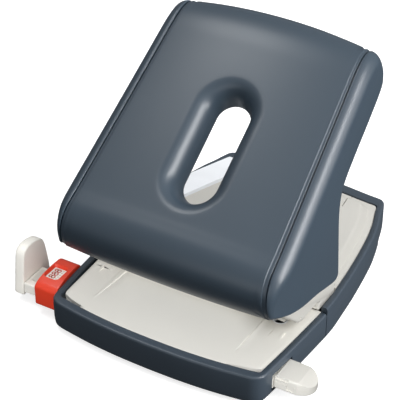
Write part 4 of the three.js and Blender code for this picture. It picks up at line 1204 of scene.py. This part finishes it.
# ---------------------------------------------------------------- the works
@dataclass
class Works:
    """Punching mechanism: the plated saddle, and the carried-over steel parts with finer edges."""

    saddle_t: float = 1.6
    saddle_in: float = 13.7
    saddle_out: float = 26.5

    def _saddle(self) -> None:
        """Saddle of bright sheet: two arms that fall to the rear on bent-down feet, joined in front."""
        front, foot, t = SIZE.throat_y - 9.5, SIZE.slot_top + 1.8, self.saddle_t
        outer = resample(fillet([(front, foot), (front, 58.4), (42.6, 36.4), (43.4, 22.4)], 3.4, 10), 160)
        run = np.gradient(outer, axis=0)
        normal = unit(np.column_stack([run[:, 1], -run[:, 0]]))
        inner = (outer + normal * t)[::-1]
        band = np.vstack([outer, inner])[::-1]
        saddle = Shape().prism_x(band, -self.saddle_out, -self.saddle_in).build("plated_saddle")
        carve(saddle, Shape().prism_x(band, self.saddle_in, self.saddle_out), "UNION")
        bridge = Shape().block((-self.saddle_in - 3, front, 32), (self.saddle_in + 3, front + t, 53))
        carve(saddle, bridge, "UNION")
        for sign in (-1, 1):
            inside = sorted((sign * (self.saddle_in - 2), sign * (self.saddle_in + 1.3)))
            carve(saddle, Shape().block((inside[0], 33, 20), (inside[1], 50, 50)))
        ease_edges(saddle, 0.25)
        enlist(saddle, Body.BASE, Slot.ZINC, ZINC, "punch_frame")

    def _carried_over(self) -> None:
        """Dresses the CAD parts that stay as they are."""
        zinc = ("lever_plate", "pin_bracket_left", "pin_bracket_right")
        steel = ["chassis_plate", "pivot_axle", "base_screw_1", "base_screw_2"]
        for side in ("left", "right"):
            steel += [f"axle_clip_{side}", f"punch_pin_{side}", f"pin_head_{side}", f"press_bar_{side}"]
        steel += [f"lever_screw_{i}" for i in (1, 2, 3, 4)]
        springs = ("return_spring_left", "return_spring_right")
        for names, finish in ((zinc, ZINC), (steel, STEEL), (springs, SPRING_STEEL)):
            for name in names:
                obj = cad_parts[name]
                obj.data.materials.clear()
                obj.data.materials.append(dressed(finish))
                soften_shading(obj.data, 35)
                if names is not springs:
                    ease_edges(obj, 0.15, 40, 2)
                log.info("%s: carried over in %s", name, finish.name)

    def build(self) -> None:
        """Builds the saddle and dresses the rest."""
        self._saddle()
        self._carried_over()


# ---------------------------------------------------------------- studio
@dataclass
class Lamp:
    """One soft rectangular light, aimed at a point; places in metres."""

    name: str
    place: tuple[float, float, float]
    size: tuple[float, float]
    power: float
    tint: tuple[float, float, float] = (1.0, 1.0, 1.0)
    target: tuple[float, float, float] = (0.0, 0.0, 0.04)
    only: Sequence[str] = ()
    skip: Sequence[str] = ()

    def build(self) -> None:
        """Adds the light to the scene."""
        data = bpy.data.lights.new(self.name, "AREA")
        data.shape, data.size, data.size_y = "RECTANGLE", *self.size
        data.energy, data.color = self.power, self.tint
        lamp = bpy.data.objects.new(self.name, data)
        lamp.location = self.place
        aim = Vector(self.target) - Vector(self.place)
        lamp.rotation_euler = aim.to_track_quat("-Z", "Y").to_euler()
        bpy.context.scene.collection.objects.link(lamp)
        if self.only or self.skip:
            chosen = bpy.data.collections.new(f"{self.name}_pieces")
            for name in (*self.only, *self.skip):
                chosen.objects.link(bpy.data.objects[name])
            for member in chosen.collection_objects:
                member.light_linking.link_state = "EXCLUDE" if self.skip else "INCLUDE"
            lamp.light_linking.receiver_collection = chosen
            if self.only:
                lamp.light_linking.blocker_collection = chosen


COVERS = ("punching_table", "punch_cover", "window_card", "plated_saddle", "die_bush_left",
          "die_bush_right")
DECK = ("deck_cover",)
GUIDE = ("window_frame", "stop_plate", "knob_grip", "rail_bar")


@dataclass
class Studio:
    """Pale floor, soft lights and the camera."""

    azimuth: float = 30.9
    elevation: float = 34.6
    eye: tuple[float, float, float] = (287.3, -511.3, 449.8)
    lens: float = 144.0
    floor_half: float = 1500.0
    sky_top: float = 0.75
    sky_edge: float = 0.42
    sky_below: float = 0.12
    lamps: Sequence[Lamp] = (
        Lamp("upper_left_box", (-0.25, -0.02, 0.58), (0.20, 0.20), 1.1, skip=COVERS + DECK),
        Lamp("upper_right_box", (0.62, -0.28, 0.95), (0.22, 0.9), 1.4, skip=COVERS + DECK),
        Lamp("right_strip", (0.95, -0.03, 0.56), (0.11, 0.9), 15.0, skip=COVERS + DECK + GUIDE),
        Lamp("right_wall_fill", (1.30, 0.25, 0.22), (0.8, 0.4), 3.6, skip=COVERS + DECK + GUIDE),
        Lamp("front_fill", (0.10, -1.20, 0.30), (1.2, 0.5), 2.0, skip=COVERS),
        Lamp("cover_fill", (0.75, -0.50, 0.85), (0.6, 0.6), 11.5, only=COVERS),
        Lamp("deck_fill", (0.50, -0.20, 1.10), (0.5, 0.5), 5.5, only=DECK),
        Lamp("saddle_fill", (-0.10, 0.30, 1.20), (0.5, 0.5), 9.0, only=("plated_saddle",)),
        Lamp("guide_fill", (0.45, -1.00, 0.60), (0.6, 0.6), 8.5, only=GUIDE),
    )

    def _floor(self) -> None:
        """The floor sheet."""
        shape = Shape()
        half = self.floor_half
        plan = rounded_polygon([(-half, -half), (half, -half), (half, half), (-half, half)], half / 5)
        shape.loft([at_z(plan, z) for z in (-2.0, -0.02)])
        floor = shape.build("studio_floor")
        floor.data.materials.append(dressed(SHEET))
        floor.visible_diffuse = floor.visible_glossy = False

    def _sky(self) -> None:
        """Light from all round, brighter overhead and to the right, dim below the floor."""
        world = bpy.data.worlds.new("studio_air")
        bpy.context.scene.world = world
        graph = Graph(world)
        way = graph.wire("ShaderNodeTexCoord", output="Generated")
        split = graph.node("ShaderNodeSeparateXYZ", {}, {0: way})
        height = Wire(graph, split.outputs["Z"])
        strength = (height.ramp(-0.06, 0.02) * (self.sky_edge - self.sky_below)
                    + height.ramp(0.1, 0.95) * (self.sky_top - self.sky_edge) + self.sky_below)
        strength = strength * (Wire(graph, split.outputs["X"]) * 0.5 + 0.9)
        background = graph.node("ShaderNodeBackground", {}, {"Color": (1.0, 1.0, 1.0, 1.0),
                                                             "Strength": strength})
        output = graph.node("ShaderNodeOutputWorld")
        graph.tree.links.new(background.outputs[0], output.inputs[0])

    def _camera(self) -> None:
        """The portrait camera."""
        data = bpy.data.cameras.new("portrait")
        data.lens, data.sensor_width, data.sensor_fit = self.lens, 36.0, "HORIZONTAL"
        data.clip_start, data.clip_end = 0.01, 20.0
        camera = bpy.data.objects.new("portrait", data)
        a, e = math.radians(self.azimuth), math.radians(self.elevation)
        back = Vector((math.sin(a) * math.cos(e), -math.cos(a) * math.cos(e), math.sin(e)))
        camera.rotation_euler = back.to_track_quat("Z", "Y").to_euler()
        camera.location = Vector(ORIGIN) + Vector(self.eye) / 1000
        bpy.context.scene.collection.objects.link(camera)
        bpy.context.scene.camera = camera
        bpy.context.scene.view_settings.view_transform = "Standard"

    def build(self) -> None:
        """Sets the stage."""
        self._floor()
        self._sky()
        for lamp in self.lamps:
            lamp.build()
        self._camera()
        log.info("studio: %d lamps", len(self.lamps))


def main() -> None:
    """Builds the punch piece by piece."""
    logging.basicConfig(level=logging.INFO, format="%(message)s")
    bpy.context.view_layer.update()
    ring = BaseRing()
    ring.build()
    Covers(ring).build()
    Guide().build(ring)
    Handle().build()
    Works().build()
    Studio().build()


if __name__ == "__main__":
    main()
